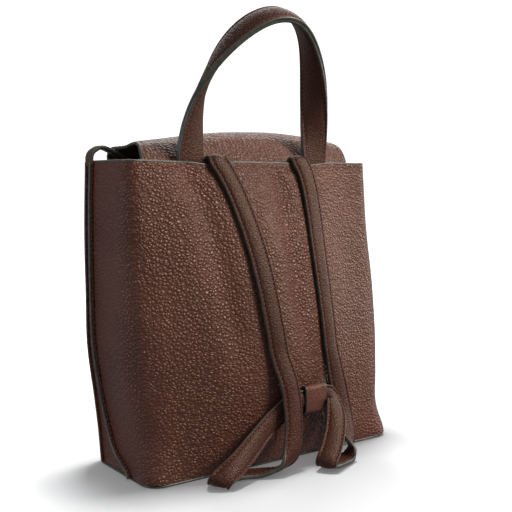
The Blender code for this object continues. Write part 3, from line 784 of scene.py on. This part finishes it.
def make_pocket():
    """Slip pocket: a cloth sheet whose sides and foot run back to the lining, with a folded hem."""
    low, high = box_mm("inner_pocket")
    xs, zs = np.linspace(low[0], high[0], 61), np.linspace(low[2], high[2], 41)
    x, z = np.meshgrid(xs, zs)
    wall = front_y(x, z) + POCKET_OFF
    inset = np.minimum(np.minimum(x - low[0], high[0] - x), (z - low[2]) * 1.2)
    share = smooth(inset, 0, 9)
    y = wall * (1 - share) + (high[1] - 0.4) * share
    face = np.stack([x, y, z], -1)
    face[..., 1] += 0.5 * ripple(face, (30, 30, 40), 2.2) * share - 0.5 * share
    back = face - (0, POCKET_THICK, 0)
    pocket = sheet("cloth_pocket", back, face, [CLOTH, CLOTH, CLOTH])
    settle(pocket, "lining_fabric", "inner_pocket")
    rim = face[-1] - (0, POCKET_THICK / 2, 0.6)
    settle(tube("pocket_hem", rim, POCKET_HEM, CLOTH), "lining_fabric")


# ---- ears
# one ear's middle line as (x, z), from its foot over the edge and into the mouth
EAR_PATH = [(0, (136.0, 266.5)), (1, (137.0, 273.0)), (2, (134.6, 279.0)), (3, (126.0, 283.2)),
            (4, (115.5, 279.8)), (5, (107.0, 275.6)), (6, (101.0, 272.6))]
EAR_PROFILE = [(-1.0, 0.9), (-0.97, 1.5), (-0.86, 1.8), (0.86, 1.8), (0.97, 1.5), (1.0, 0.9),
               (1.0, -0.9), (0.97, -1.4), (0.86, -1.6), (-0.86, -1.6), (-0.97, -1.4), (-1.0, -0.9)]
EAR_PICKS = [1, 1, 0, 1, 1, 1, 1, 1, 2, 1, 1, 1]
EAR_STEPS = 49


def make_ears():
    """The gusset tops, folded inwards as thin arches."""
    for word, side in (("left", 1), ("right", -1)):
        low, high = box_mm("ear_" + word)
        middle, half = (low[1] + high[1]) / 2, (high[1] - low[1]) / 2
        spots = through(EAR_PATH, np.linspace(0, EAR_PATH[-1][0], EAR_STEPS))
        points = np.column_stack([side * spots[:, 0], np.full(EAR_STEPS, middle), spots[:, 1]])
        normals = np.cross(np.gradient(points, axis=0), (0, side, 0))
        wide = half * (1.04 - 0.16 * smooth(np.linspace(0, 1, EAR_STEPS)))
        profile = np.array([[(s * w, h) for s, h in EAR_PROFILE] for w in wide])
        item = sweep("leather_ear_" + word, points, normals, profile, EAR_PICKS, [PEBBLED, PAINT, FLESH])
        foot, fold = (side * 137, middle, 269), (side * 132, middle, 281.5)
        bend(item, "bag_body", word + "_ear", foot, fold, "pebbled_leather", "ear_" + word)


# ---- flap
# the flap's middle line over the mouth as (y, z)
CROWN = [(0, (-3.4, 285.5)), (1, (-12.0, 294.0)), (2, (-27.0, 300.2)),
         (3, (-48.0, 295.6)), (4, (-64.0, 289.6)), (5, (-71.6, 280.5))]
FLAP_HALF = [(0, 115.0), (3, 113.2), (5, 112.3)]
FLAP_FRONT_HALF = 112.0
FLAP_LEFT_DROP = 7.0  # how far the crown falls to its left and right ends
FLAP_RIGHT_DROP = 15.0
FRONT_SHARE = 0.35  # how much of that shift and fall reaches the front
FLAP_STANDOFF = 8.5  # from the front panel to the flap
FLAP_CORNER = 30.0
FLAP_DEPTH = 8.4  # how deep its root lies inside the back
FLAP_COLS = 73
FLAP_SPLIT = 2.6  # where on the crown the two flap pieces meet
FLAP_SHIFT = -8.5  # the crown sits a little to the right and lower on the left
FLAP_TILT = 0.05
FLAP_RIM = 1.65  # radius of its painted edge
FLAP_STITCH_INSET = 4.2
HINGE_SPAN = ((0, 4.0, 277.0), (0, -13.0, 291.0))
CREASE_SPAN = ((0, -60.0, 290.0), (0, -73.0, 268.0))


def flap_row(half, y, z, share):
    """One row across the flap; y may be a function of x and z."""
    x = np.linspace(-half, half, FLAP_COLS)
    side = x / FLAP_HALF[0][1]
    fall = np.where(x > 0, FLAP_LEFT_DROP * side ** 2, FLAP_RIGHT_DROP * np.abs(side) ** 2.2)
    height = z - share * (fall + FLAP_TILT * x)
    x = x + FLAP_SHIFT * share
    return np.column_stack([x, y(x, height) if callable(y) else np.full(FLAP_COLS, y), height])


def flap_outline_half(z):
    """Half the width of the hanging front, with its rounded lower corners."""
    fall = max(FLAP_END + FLAP_CORNER - z, 0.0)
    return FLAP_FRONT_HALF - FLAP_CORNER + math.sqrt(max(FLAP_CORNER ** 2 - fall ** 2, 0.0))


def crown_rows(low, high, count):
    """Rows of the crown between two places on its middle line."""
    rows = []
    for t in np.linspace(low, high, count):
        y, z = through(CROWN, t)
        share = 0.4 + 0.6 * min(t / 2, 1.0) - (1 - FRONT_SHARE) * float(smooth(t, 2.4, 4.6))
        rows.append(flap_row(through(FLAP_HALF, t), y, z, share))
    return rows


def flap_back_grid():
    """From the sewn root up out of the mouth and over the crown's back."""
    rows = []
    for z in np.linspace(244.5, 265.0, 6):
        rows.append(flap_row(FLAP_HALF[0][1], lambda x, h: back_y(x, h) - FLAP_DEPTH * 1.03, z, 0.0))
    knots = [(0, (6.6, 268.0, 0.02)), (1, (3.4, 275.6, 0.15)), (2, (-2.4, 284.0, 0.38))]
    for t in np.linspace(0, 2, 8):
        y, z, share = through(knots, t)
        rows.append(flap_row(FLAP_HALF[0][1], y, z, share))
    return np.array(rows + crown_rows(0.15, FLAP_SPLIT, 14))


def flap_front_grid():
    """The crown's front and the hanging front down to its lower edge."""
    rows = crown_rows(FLAP_SPLIT, 5, 16)
    straight = np.linspace(277.5, FLAP_END + FLAP_CORNER, 22)
    rounded = FLAP_END + FLAP_CORNER * (1 - np.sin(np.linspace(0.08, 1, 14) * np.pi / 2))
    for z in np.concatenate([straight, rounded]):
        share = FRONT_SHARE * smooth(z, 236, 277.5)
        rows.append(flap_row(flap_outline_half(z), lambda x, h: front_y(x, h) - FLAP_STANDOFF, z, share))
    return np.array(rows)


def soften(grid, amount, seed):
    """Gentle unevenness, none at the first and last row, so that neighbours still meet."""
    normals = -grid_normals(grid, closed=False)
    at = np.linspace(0, 1, len(grid))
    fade = smooth(at, 0, 0.15) * (1 - smooth(at, 0.85, 1))
    move = ripple(grid, (60, 40, 40), seed) * amount * fade[:, None]
    return grid + normals * move[..., None]


def make_flap():
    """Leather and lining of the flap, in two pieces that meet on the crown."""
    for word, grid, bodies, span, nodes, lined in (
            ("back", soften(flap_back_grid(), 0.9, 4.4), ("bag_body", "flap_top"), HINGE_SPAN,
             ("flap_root", "flap_crown"), ("flap_crown_lining",)),
            ("front", soften(flap_front_grid(), 0.9, 6.1), ("flap_top", "flap_drop"), CREASE_SPAN,
             ("flap_front",), ("flap_front_lining",))):
        normals = -grid_normals(grid, closed=False)
        under = grid - normals * LEATHER
        item = sheet("leather_flap_" + word, grid[::-1], under[::-1], [PEBBLED, FLESH, PAINT])
        bend(item, *bodies, *span, "pebbled_leather", *nodes)
        start = 8 if word == "back" else 0
        near, far = (grid - normals * d for d in (LEATHER + 0.15, LEATHER + 0.95))
        item = sheet("flap_lining_" + word, near[start:][::-1], far[start:][::-1], [FLESH, FLESH, PAINT])
        bend(item, *bodies, *span, "suede", *lined)
        middle = grid - normals * 1.5
        sides = [middle[:, 0], middle[:, -1]]
        if word == "front":
            sides = [np.concatenate([middle[:-1, 0], middle[-1], middle[:-1, -1][::-1]])]
        for i, rim in enumerate(sides):
            bead = tube("flap_edge_%s_%d" % (word, i), rim, FLAP_RIM, PAINT)
            bend(bead, *bodies, *span, "pebbled_leather")
        thread_lines = []
        for column in (2, -3):
            outer_edge = grid[:, 0 if column == 2 else -1]
            inward = unit(grid[:, column] - outer_edge)
            keep = slice(6, None) if word == "back" else slice(0, -3)
            thread_lines.append(((outer_edge + inward * FLAP_STITCH_INSET)[keep], normals[:, column][keep]))
        if word == "front":
            foot = np.abs(grid[-1, :, 0]) < flap_outline_half(FLAP_END) - 1.0
            thread_lines.append((grid[-1, foot] + (0, 0, FLAP_STITCH_INSET), normals[-4, foot]))
        bend(stitches("flap_stitches_" + word, thread_lines), *bodies, *span, "pebbled_leather")


# ---- handle
# upper left quarter of its section as (side, height), from the painted edge to the padded middle
HANDLE_PROFILE = [(-12.75, 0.25), (-13.1, 0.8), (-13.15, 1.6), (-12.9, 2.3), (-12.3, 2.75), (-11.4, 2.85),
                  (-10.7, 2.4), (-10.3, 2.1), (-9.9, 2.45), (-9.2, 3.1), (-7.0, 3.8), (-3.0, 4.4), (0.0, 4.5)]
HANDLE_STITCH = (10.3, 2.1)
HANDLE_FLAT = 2.4  # half thickness at its feet, where the padding ends
HANDLE_EDGE = 4  # how many faces of a quarter of the profile are painted
ARCH_STEPS = 81
HANDLE_SPAN = ((0, HANDLE_HINGE[1], 267.0), (0, HANDLE_HINGE[1], 283.0))


def handle_arch():
    """The handle's middle line and the direction its outer face looks."""
    low = np.array([(HANDLE_X, HANDLE_HINGE[1] - 0.4, z) for z in (250.0, 258.0, 266.0)])
    turn = np.linspace(0, np.pi, ARCH_STEPS)
    height = np.sin(turn) ** ARCH_SHAPE
    arch = np.column_stack([HANDLE_X * np.cos(turn) + HANDLE_SKEW * height ** 2,
                            HANDLE_HINGE[1] + HANDLE_LEAN * height ** LEAN_SHAPE,
                            HANDLE_HINGE[2] + 1.5 + HANDLE_RISE * height])
    lean = np.arctan(LEAN_SHAPE * HANDLE_LEAN / HANDLE_RISE * height ** (LEAN_SHAPE - 1))
    steps = np.arange(ARCH_STEPS)
    share = np.minimum(steps, steps[::-1]) / (ARCH_STEPS // 2)
    twist = np.pi / 2 * (1 - np.sin(np.pi / 2 * np.minimum(share / TWIST_SPAN, 1)))
    none = np.zeros(ARCH_STEPS)
    out = unit(np.column_stack([np.cos(turn) / HANDLE_X, none, np.sin(turn) / HANDLE_RISE]))
    out = np.column_stack([out[:, 0], out[:, 2] * np.sin(lean), out[:, 2] * np.cos(lean)])
    front = np.column_stack([none, -np.cos(lean), np.sin(lean)])
    normals = out * np.cos(twist)[:, None] + front * np.sin(twist)[:, None]
    down = np.tile((0, -1.0, 0), (3, 1))
    points = np.concatenate([low, arch, low[::-1] * (-1, 1, 1)])
    return points, np.concatenate([down, normals, down])


def make_handle():
    """Two strips over a core with painted edges, padded above the top edge, and its stitches."""
    points, normals = handle_arch()
    fine = np.linspace(0, len(points) - 1, 201)
    rows = list(range(len(points)))
    points = through(list(zip(rows, points)), fine)
    normals = unit(through(list(zip(rows, normals)), fine))
    top = both_sides(HANDLE_PROFILE)
    profile = np.array(top + [(s, -h) for s, h in reversed(top)])
    padding = 0.15 + 0.85 * smooth(points[:, 2], HEIGHT + 6, HEIGHT + 60)[:, None]
    over = np.maximum(np.abs(profile[:, 1]) - HANDLE_FLAT, 0)
    deep = np.sign(profile[:, 1]) * (np.abs(profile[:, 1]) - over + over * padding)
    profile = np.stack([np.broadcast_to(profile[:, 0], deep.shape), deep], -1)
    count = len(HANDLE_PROFILE)
    face = [0] * (2 * (count - 1) - 2 * HANDLE_EDGE)
    picks = ([1] * HANDLE_EDGE + face + [1] * (HANDLE_EDGE + 1)) * 2
    item = sweep("leather_handle", points, normals, profile, picks, [SMOOTH, PAINT])
    bend(item, "bag_body", "handle", *HANDLE_SPAN, "smooth_leather", "handle_outer", "handle_inner",
         "handle_core", "handle_tab_left", "handle_tab_right")
    _, up, side = path_frames(points, normals)
    s, h = HANDLE_STITCH
    lines = []
    visible = points[:, 2] > 262
    for across_side in (s, -s):
        for face in (h, -h):
            spots = points + side * across_side + up * face
            lines.append((spots[visible], (up * np.sign(face))[visible]))
    for column in (HANDLE_X, -HANDLE_X):
        for face in (1, -1):
            row = np.array([(column + s, HANDLE_HINGE[1] + face * 2.9, HEIGHT + 9.0)
                            for s in np.linspace(-9.5, 9.5, 12)])
            lines.append((row, np.tile((0.0, face, 0.0), (12, 1))))
    thread_item = stitches("handle_stitches", lines)
    bend(thread_item, "bag_body", "handle", *HANDLE_SPAN, "smooth_leather")


# ---- shoulder strap
# its section as (side, height): the padded outer face's left half, then the flat inner face
STRAP_HALF_PROFILE = [(-9.55, 0.3), (-9.45, 1.2), (-9.0, 1.7), (-8.0, 1.75), (-7.3, 1.25), (-6.9, 0.95),
                      (-6.5, 1.25), (-5.8, 1.85), (-4.6, 2.35), (-2.4, 2.75), (0.0, 2.9)]
STRAP_UNDER = [(9.4, -1.3), (8.8, -1.8), (0.0, -1.85), (-8.8, -1.8), (-9.4, -1.3)]
STRAP_EDGE = 2  # how many faces at each end of the outer face are painted
STRAP_STITCH = (6.9, 0.95)
STRAP_UNDER_STITCH = 1.78  # depth of the inner face's stitches
STRAP_STEP = 1.6  # distance between sections
OUT = (0, 1, 0)
# below the swinging run: x, distance behind the back, z, and where the outer face looks
LEFT_LOOP = [
    (6.5, 7.5, 77, OUT), (5, 11.0, 58, OUT), (7, 17.0, 36, (0, 0.98, -0.1)),
    (13, 24.5, 18, (0.15, 0.93, -0.35)), (23, 27.0, 7.0, (0.1, 0.45, -0.88)), (40, 22.0, 3.1, (0, 0.05, -1)),
    (58, 16.0, 3.1, (0, 0, -1)), (73, 16.0, 3.1, (0, 0, -1)), (83, 23.0, 3.3, (0.2, 0.25, -0.95)),
    (89, 31.5, 6.7, (0.6, 0.8, -0.05)), (84, 31.5, 11.0, (0.1, 0.65, 0.75)),
    (72, 28.0, 16.0, (0, 0.82, 0.57)), (54, 19.5, 24.5, (0, 0.93, 0.35)), (36, 10.5, 34.5, (0, 0.98, 0.15)),
    (21, 5.5, 44, (0, 1, 0.05)), (9, 4.3, 51.5, OUT), (3.0, 4.5, 55.5, OUT), (-1.8, 4.6, 57.0, OUT)]
RIGHT_LOOP = [
    (-57, 5.5, 70, OUT), (-60, 11.0, 44, OUT), (-58, 22.0, 22, (-0.1, 0.95, -0.3)),
    (-53, 31.0, 8.0, (0, 0.5, -0.85)), (-46, 34.5, 3.3, (0.1, 0.1, -1)), (-34, 39.0, 3.1, (0.2, 0.1, -0.97)),
    (-20, 43.0, 3.7, (0.4, 0.2, -0.9)), (-11.5, 45.5, 7.0, (0.85, 0.5, -0.2)),
    (-12.5, 44.5, 11.5, (0.75, 0.65, 0.1)), (-19, 40.0, 17.5, (0.7, 0.7, 0.1)),
    (-28, 33.0, 26, (0.62, 0.77, 0.1)), (-37, 24.5, 37, (0.45, 0.88, 0.1)),
    (-43.5, 16.0, 47, (0.15, 0.97, 0.15)), (-46, 9.5, 54, (-0.2, 0.95, 0.2)), (-43, 5.2, 57, OUT)]
KEEPER_MIDDLE = (KEEPER_LOW[0] + KEEPER_HIGH[0]) / 2
KEEPER_Z = (KEEPER_LOW[2] + KEEPER_HIGH[2]) / 2
KEEPER_OFF = 4.6  # from the back to the strap's middle inside the keeper
SPLIT_Z = 205.0  # height where its two pieces meet
CURL_Z = 268.9  # centre height of the curl over the top edge
CURL_RISE = 5.4


def back_facing_out(x, z):
    """The back's unit normal."""
    slope_x = (back_y(x + 0.5, z) - back_y(x - 0.5, z))
    slope_z = (back_y(x, z + 0.5) - back_y(x, z - 0.5))
    return unit((-slope_x, 1.0, -slope_z))


def strap_path(run, loop):
    """Middle line and outer face of one half of the strap, from its sewn end to the keeper's middle."""
    spots, faces = [], []
    top_x = run[-1][1]
    for z in (244.0, 256.0, CURL_Z - 1.0):
        normal = back_facing_out(top_x, z)
        spots.append((top_x, back_y(top_x, z) - 6.1, z))
        faces.append(-normal)
    radius = (STRAP_HINGE[1] - spots[-1][1]) / 2
    for degrees in range(20, 165, 20):
        a = math.radians(degrees)
        direction = np.array((0, -math.cos(a), math.sin(a)))
        spots.append(np.array((top_x, spots[2][1] + radius, CURL_Z)) + direction * (0, radius, CURL_RISE))
        faces.append(direction)
    for z in np.linspace(262, run[0][0], 12):
        x = float(through(run, z))
        normal = back_facing_out(x, z)
        spots.append(np.array((x, back_y(x, z), z)) + normal * 2.6)
        faces.append(normal)
    for x, behind, z, facing in loop:
        spots.append((x, float(back_y(x, z)) + behind, z))
        faces.append(facing)
    for step in (0.5, 1.0):
        x = loop[-1][0] + (KEEPER_MIDDLE - loop[-1][0]) * step
        spots.append((x, float(back_y(x, KEEPER_Z)) + KEEPER_OFF, KEEPER_Z))
        faces.append(OUT)
    return np.array(spots, float), np.array(faces, float)


def make_strap(word, run, loop):
    """One half of the strap in two pieces that meet at SPLIT_Z: the upper curls over the top edge, the lower
    runs down through its loop to the keeper.
    """
    spots, faces = strap_path(run, loop)
    along = run_along(spots)
    at = np.arange(0, along[-1], STRAP_STEP)
    points = through(list(zip(along, spots)), at)
    normals = unit(through(list(zip(along, faces)), at))
    top = both_sides(STRAP_HALF_PROFILE)
    face = [0] * (len(top) - 1 - 2 * STRAP_EDGE)
    picks = [1] * STRAP_EDGE + face + [1] * (STRAP_EDGE + 2) + [0, 0, 1, 1]
    _, up, side = path_frames(points, normals)
    split = int(np.argmax((points[:, 2] < SPLIT_Z) & (np.arange(len(points)) > 20)))
    body = word + "_strap"
    hinge = (run[-1][1], STRAP_HINGE[1], STRAP_HINGE[2])
    top_span = ((hinge[0], hinge[1] - 3.0, HEIGHT + 3.0), (hinge[0], hinge[1] + 4.0, HEIGHT - 20.0))
    low_span = ((0, STRAP_HINGE[1], 185.0), (0, STRAP_HINGE[1], 62.0))
    low_nodes = ["strap_%s_upper" % word, "strap_%s_lower" % word]
    if word == "left":
        low_nodes.append("strap_centre")
    s, h = STRAP_STITCH
    for part, rows, bodies, span, nodes in (
            ("top", slice(0, split + 1), ("bag_body", body), top_span, ["strap_%s_tab" % word]),
            ("low", slice(split, None), (body, "bag_body"), low_span, low_nodes)):
        item = sweep("leather_strap_%s_%s" % (word, part), points[rows], normals[rows],
                     top + STRAP_UNDER, picks, [SMOOTH, PAINT])
        bend(item, *bodies, *span, "smooth_leather", *nodes)
        lines = []
        for sign in (1, -1):
            lines.append(((points + side * s * sign + up * h)[rows], up[rows]))
            lines.append(((points + side * s * sign - up * STRAP_UNDER_STITCH)[rows], -up[rows]))
        thread_item = stitches("strap_stitches_%s_%s" % (word, part), lines)
        bend(thread_item, *bodies, *span, "smooth_leather")


KEEPER_NEAR, KEEPER_FAR = 0.4, 9.0  # from the back to the loop's two faces
KEEPER_WALL = 1.7
KEEPER_RIM = 1.05  # radius of its painted edges
KEEPER_CROWN = 0.03  # its middle stands out by this share
KEEPER_ROWS = 15


def make_keeper():
    """The loop that the strap runs through, sewn to the back."""
    radius = (KEEPER_FAR - KEEPER_NEAR) / 2
    low, high = KEEPER_LOW[2], KEEPER_HIGH[2]
    turns = np.linspace(0, np.pi, 13)
    outline = [(KEEPER_FAR - (1 + np.cos(a)) * radius, high - radius + radius * np.sin(a))
               for a in turns[::-1]]
    outline += [(KEEPER_NEAR + (1 - np.cos(a)) * radius, low + radius - radius * np.sin(a)) for a in turns]
    outline = np.array(outline)
    rows = []
    for i, x in enumerate(np.linspace(KEEPER_LOW[0] + 0.3, KEEPER_HIGH[0] - 0.3, KEEPER_ROWS)):
        crown = KEEPER_CROWN * math.sin(math.pi * i / (KEEPER_ROWS - 1))
        base = float(back_y(x, KEEPER_Z))
        slope = float(back_y(x, KEEPER_Z + 10) - back_y(x, KEEPER_Z - 10)) / 20
        offs = KEEPER_NEAR + (outline[:, 0] - KEEPER_NEAR) * (1 + crown)
        y = base + offs + slope * (outline[:, 1] - KEEPER_Z)
        rows.append(np.column_stack([np.full(len(outline), x), y, outline[:, 1]]))
    outer = np.array(rows)
    normals = grid_normals(outer, closed=True)
    centre = outer.mean(axis=(0, 1))
    if ((outer - centre) * normals).sum() < 0:
        normals = -normals
    inner = outer - normals * KEEPER_WALL
    item = sheet("leather_keeper", outer, inner, [KEEPER, FLESH, PAINT], closed=True)
    settle(item, "smooth_leather", "strap_keeper")
    for i, row in enumerate((0, -1)):
        rim = (outer - normals * KEEPER_WALL / 2)[row]
        bead = tube("keeper_edge_%d" % i, rim, KEEPER_RIM, PAINT, closed=True)
        settle(bead, "smooth_leather")
    lines = []
    for row in (2, -3):
        visible = outer[row, :, 1] - outer[row, :, 1].min() > 3.0
        lines.append((outer[row][visible], normals[row][visible]))
    settle(stitches("keeper_stitches", lines), "smooth_leather")


ANCHOR_DROP = 15.0  # how far the point of stitches under the keeper reaches down


def make_keeper_anchor_stitches():
    """A pointed row of stitches on the back below the keeper, where it is sewn through."""
    end = KEEPER_LOW[2] - 1.0
    shape = [(KEEPER_HIGH[0] - 2.0, end), (KEEPER_MIDDLE, end - ANCHOR_DROP), (KEEPER_LOW[0] + 2.0, end)]
    spots = []
    for (x0, z0), (x1, z1) in zip(shape, shape[1:]):
        for t in np.linspace(0, 1, 12):
            x, z = x0 + (x1 - x0) * t, z0 + (z1 - z0) * t
            spots.append((x, float(back_y(x, z)) + 0.5, z))
    facing = np.tile(back_facing_out(KEEPER_MIDDLE, end), (len(spots), 1))
    item = stitches("keeper_anchor_stitches", [(np.array(spots), facing)])
    settle(item, "pebbled_leather")


# ---- snap
LATHE_SIDES = 48
SNAP_TILT = (0.0, -1.0, -0.02)  # the cup faces the flap


def lathe(name, centre, axis, profile, mat):
    """A turned piece: (radius, height) profile round an axis."""
    axis = unit(axis)
    side = unit(np.cross(axis, (0.0, 0.1, 1.0)))
    other = np.cross(axis, side)
    turns = np.linspace(0, 2 * np.pi, LATHE_SIDES, endpoint=False)
    rings = np.array([[centre + axis * h + r * (math.cos(a) * side + math.sin(a) * other) for a in turns]
                      for r, h in profile])
    faces = quads(len(profile), LATHE_SIDES, closed_cols=True).tolist() + caps(len(profile), LATHE_SIDES)
    verts = rings.reshape(-1, 3)
    return add_mesh(name, verts, outward(verts - centre, faces), [mat], sharp=35)


def make_snap():
    """The hidden magnetic snap: a cup on the front panel and a stud on the flap."""
    low, high = box_mm("snap_female")
    radius = (high[0] - low[0]) / 2
    out = unit(SNAP_TILT)
    cup = [(radius - 0.5, -1.0), (radius, -0.6), (radius, 0.5), (radius - 0.7, 0.95), (4.0, 0.95),
           (3.5, 0.7), (3.4, -0.4), (0.5, -0.4)]
    settle(lathe("snap_cup", (low + high) / 2, out, cup, METAL), "nickel", "snap_female")
    low, high = box_mm("snap_male")
    stud = [(radius - 0.5, -0.95), (radius, -0.5), (radius, 0.6), (radius - 0.6, 0.9), (3.2, 0.9),
            (2.9, 1.1), (0.5, 1.15)]
    settle(lathe("snap_stud", (low + high) / 2, -out, stud, METAL), "nickel", "snap_male", body="flap_drop")


# ---- stage
CAMERA_PLACE = (0.4695, 0.6573, 0.254)
CAMERA_YAW = 36.0  # degrees off the back's middle
CAMERA_PITCH = -5.02
CAMERA_LENS = 60.7
AMBIENT = 0.30
FLOOR_GLOW = 0.12  # under the bag; it grows to WALL_GLOW farther off
GLOW_REACH = (0.18, 0.7)  # where it grows, from the middle of the base
WALL_GLOW = 1.0
ROOM = 9.0  # radius of the backdrop
MIDDLE = (0, 0, 0.2)  # what the lights look at
# name, place, size, power in watts and tint; these four skip the floor
SOFTBOXES = (
    ("key_softbox", (-0.75, 0.9, 1.0), (0.55, 0.55), 27, (1.0, 0.93, 0.85)),
    ("right_softbox", (-1.35, 0.05, 0.42), (0.4, 0.9), 5.5, (1.0, 0.93, 0.86)),
    ("left_softbox", (1.4, -0.25, 0.5), (0.4, 0.9), 6, (0.88, 0.92, 1.0)),
    ("back_softbox", (-0.6, -0.8, 1.1), (1.1, 0.8), 9, (1.0, 0.95, 0.9)))
# this one lights the floor alone
OVERHEAD = ("overhead_softbox", (-0.14, -0.26, 1.6), (0.34, 0.34), 30, (1, 1, 1))


def area_light(name, place, size, power, tint):
    """A rectangular softbox that looks at the middle of the bag."""
    data = bpy.data.lights.new(name, "AREA")
    data.shape = "RECTANGLE"
    data.size, data.size_y = size
    data.energy = power
    data.color = tint
    item = bpy.data.objects.new(name, data)
    item.location = place
    item.rotation_euler = (Vector(MIDDLE) - Vector(place)).to_track_quat("-Z", "Y").to_euler()
    bpy.context.scene.collection.objects.link(item)
    return item


def link_to_floor(light, floor, state):
    """Keeps a light off the floor (EXCLUDE), or on the floor alone (INCLUDE)."""
    group = bpy.data.collections.new(light.name + "_receivers")
    group.objects.link(floor)
    group.collection_objects[0].light_linking.link_state = state
    light.light_linking.receiver_collection = group


def backdrop(item, name, near_glow, far_glow):
    """Pale to look at, but it neither lights the object nor shows in its gloss. It glows more far off."""
    item.name = name
    n = Nodes(name)
    tone = n.mix(n.noise(3.0), (0.76, 0.76, 0.76), (0.80, 0.80, 0.80))
    away = n.add("ShaderNodeVectorMath", operation="LENGTH")
    n.link(n.place, away.inputs[0])
    glow = n.spread(away.outputs["Value"], *GLOW_REACH, near_glow, far_glow)
    item.data.materials.append(n.surface(tone, Roughness=0.8, Emission_Color=(1, 1, 1, 1),
                                         Emission_Strength=glow))
    item.visible_diffuse = False
    item.visible_glossy = False


def make_room():
    """The floor and the dome round it."""
    bpy.ops.mesh.primitive_plane_add(size=2.4 * ROOM, location=(0, 0, 0))
    floor = bpy.context.object
    backdrop(floor, "floor", FLOOR_GLOW, WALL_GLOW)
    bpy.ops.mesh.primitive_uv_sphere_add(segments=64, ring_count=32, radius=ROOM, location=(0, 0, 0))
    walls = bpy.context.object
    walls.data.flip_normals()
    walls.visible_shadow = False
    backdrop(walls, "walls", WALL_GLOW, WALL_GLOW)
    world = bpy.data.worlds.new("studio")
    world.use_nodes = True
    world.node_tree.nodes["Background"].inputs["Color"].default_value = (0.93, 0.96, 1.0, 1)
    world.node_tree.nodes["Background"].inputs["Strength"].default_value = AMBIENT
    bpy.context.scene.world = world
    return floor


def make_camera():
    """The photograph's viewing angle."""
    data = bpy.data.cameras.new("camera")
    data.sensor_width = 36.0
    data.lens = CAMERA_LENS
    data.clip_start = 0.01
    camera = bpy.data.objects.new("camera", data)
    yaw, pitch = math.radians(CAMERA_YAW), math.radians(CAMERA_PITCH)
    look = Vector((-math.sin(yaw) * math.cos(pitch), -math.cos(yaw) * math.cos(pitch), math.sin(pitch)))
    camera.location = CAMERA_PLACE
    camera.rotation_euler = look.to_track_quat("-Z", "Y").to_euler()
    bpy.context.scene.collection.objects.link(camera)
    bpy.context.scene.camera = camera


def make_stage():
    bpy.context.scene.view_settings.view_transform = "Standard"
    floor = make_room()
    make_camera()
    for softbox in SOFTBOXES:
        link_to_floor(area_light(*softbox), floor, "EXCLUDE")
    link_to_floor(area_light(*OVERHEAD), floor, "INCLUDE")


def main():
    skin = body_skin()
    make_body(skin)
    make_side_seams(skin)
    make_top_stitches(skin)
    make_base()
    make_lining(skin)
    make_pocket()
    make_ears()
    make_flap()
    make_handle()
    make_strap("left", LEFT_RUN, LEFT_LOOP)
    make_strap("right", RIGHT_RUN, RIGHT_LOOP)
    make_keeper()
    make_keeper_anchor_stitches()
    make_snap()
    make_stage()


main()
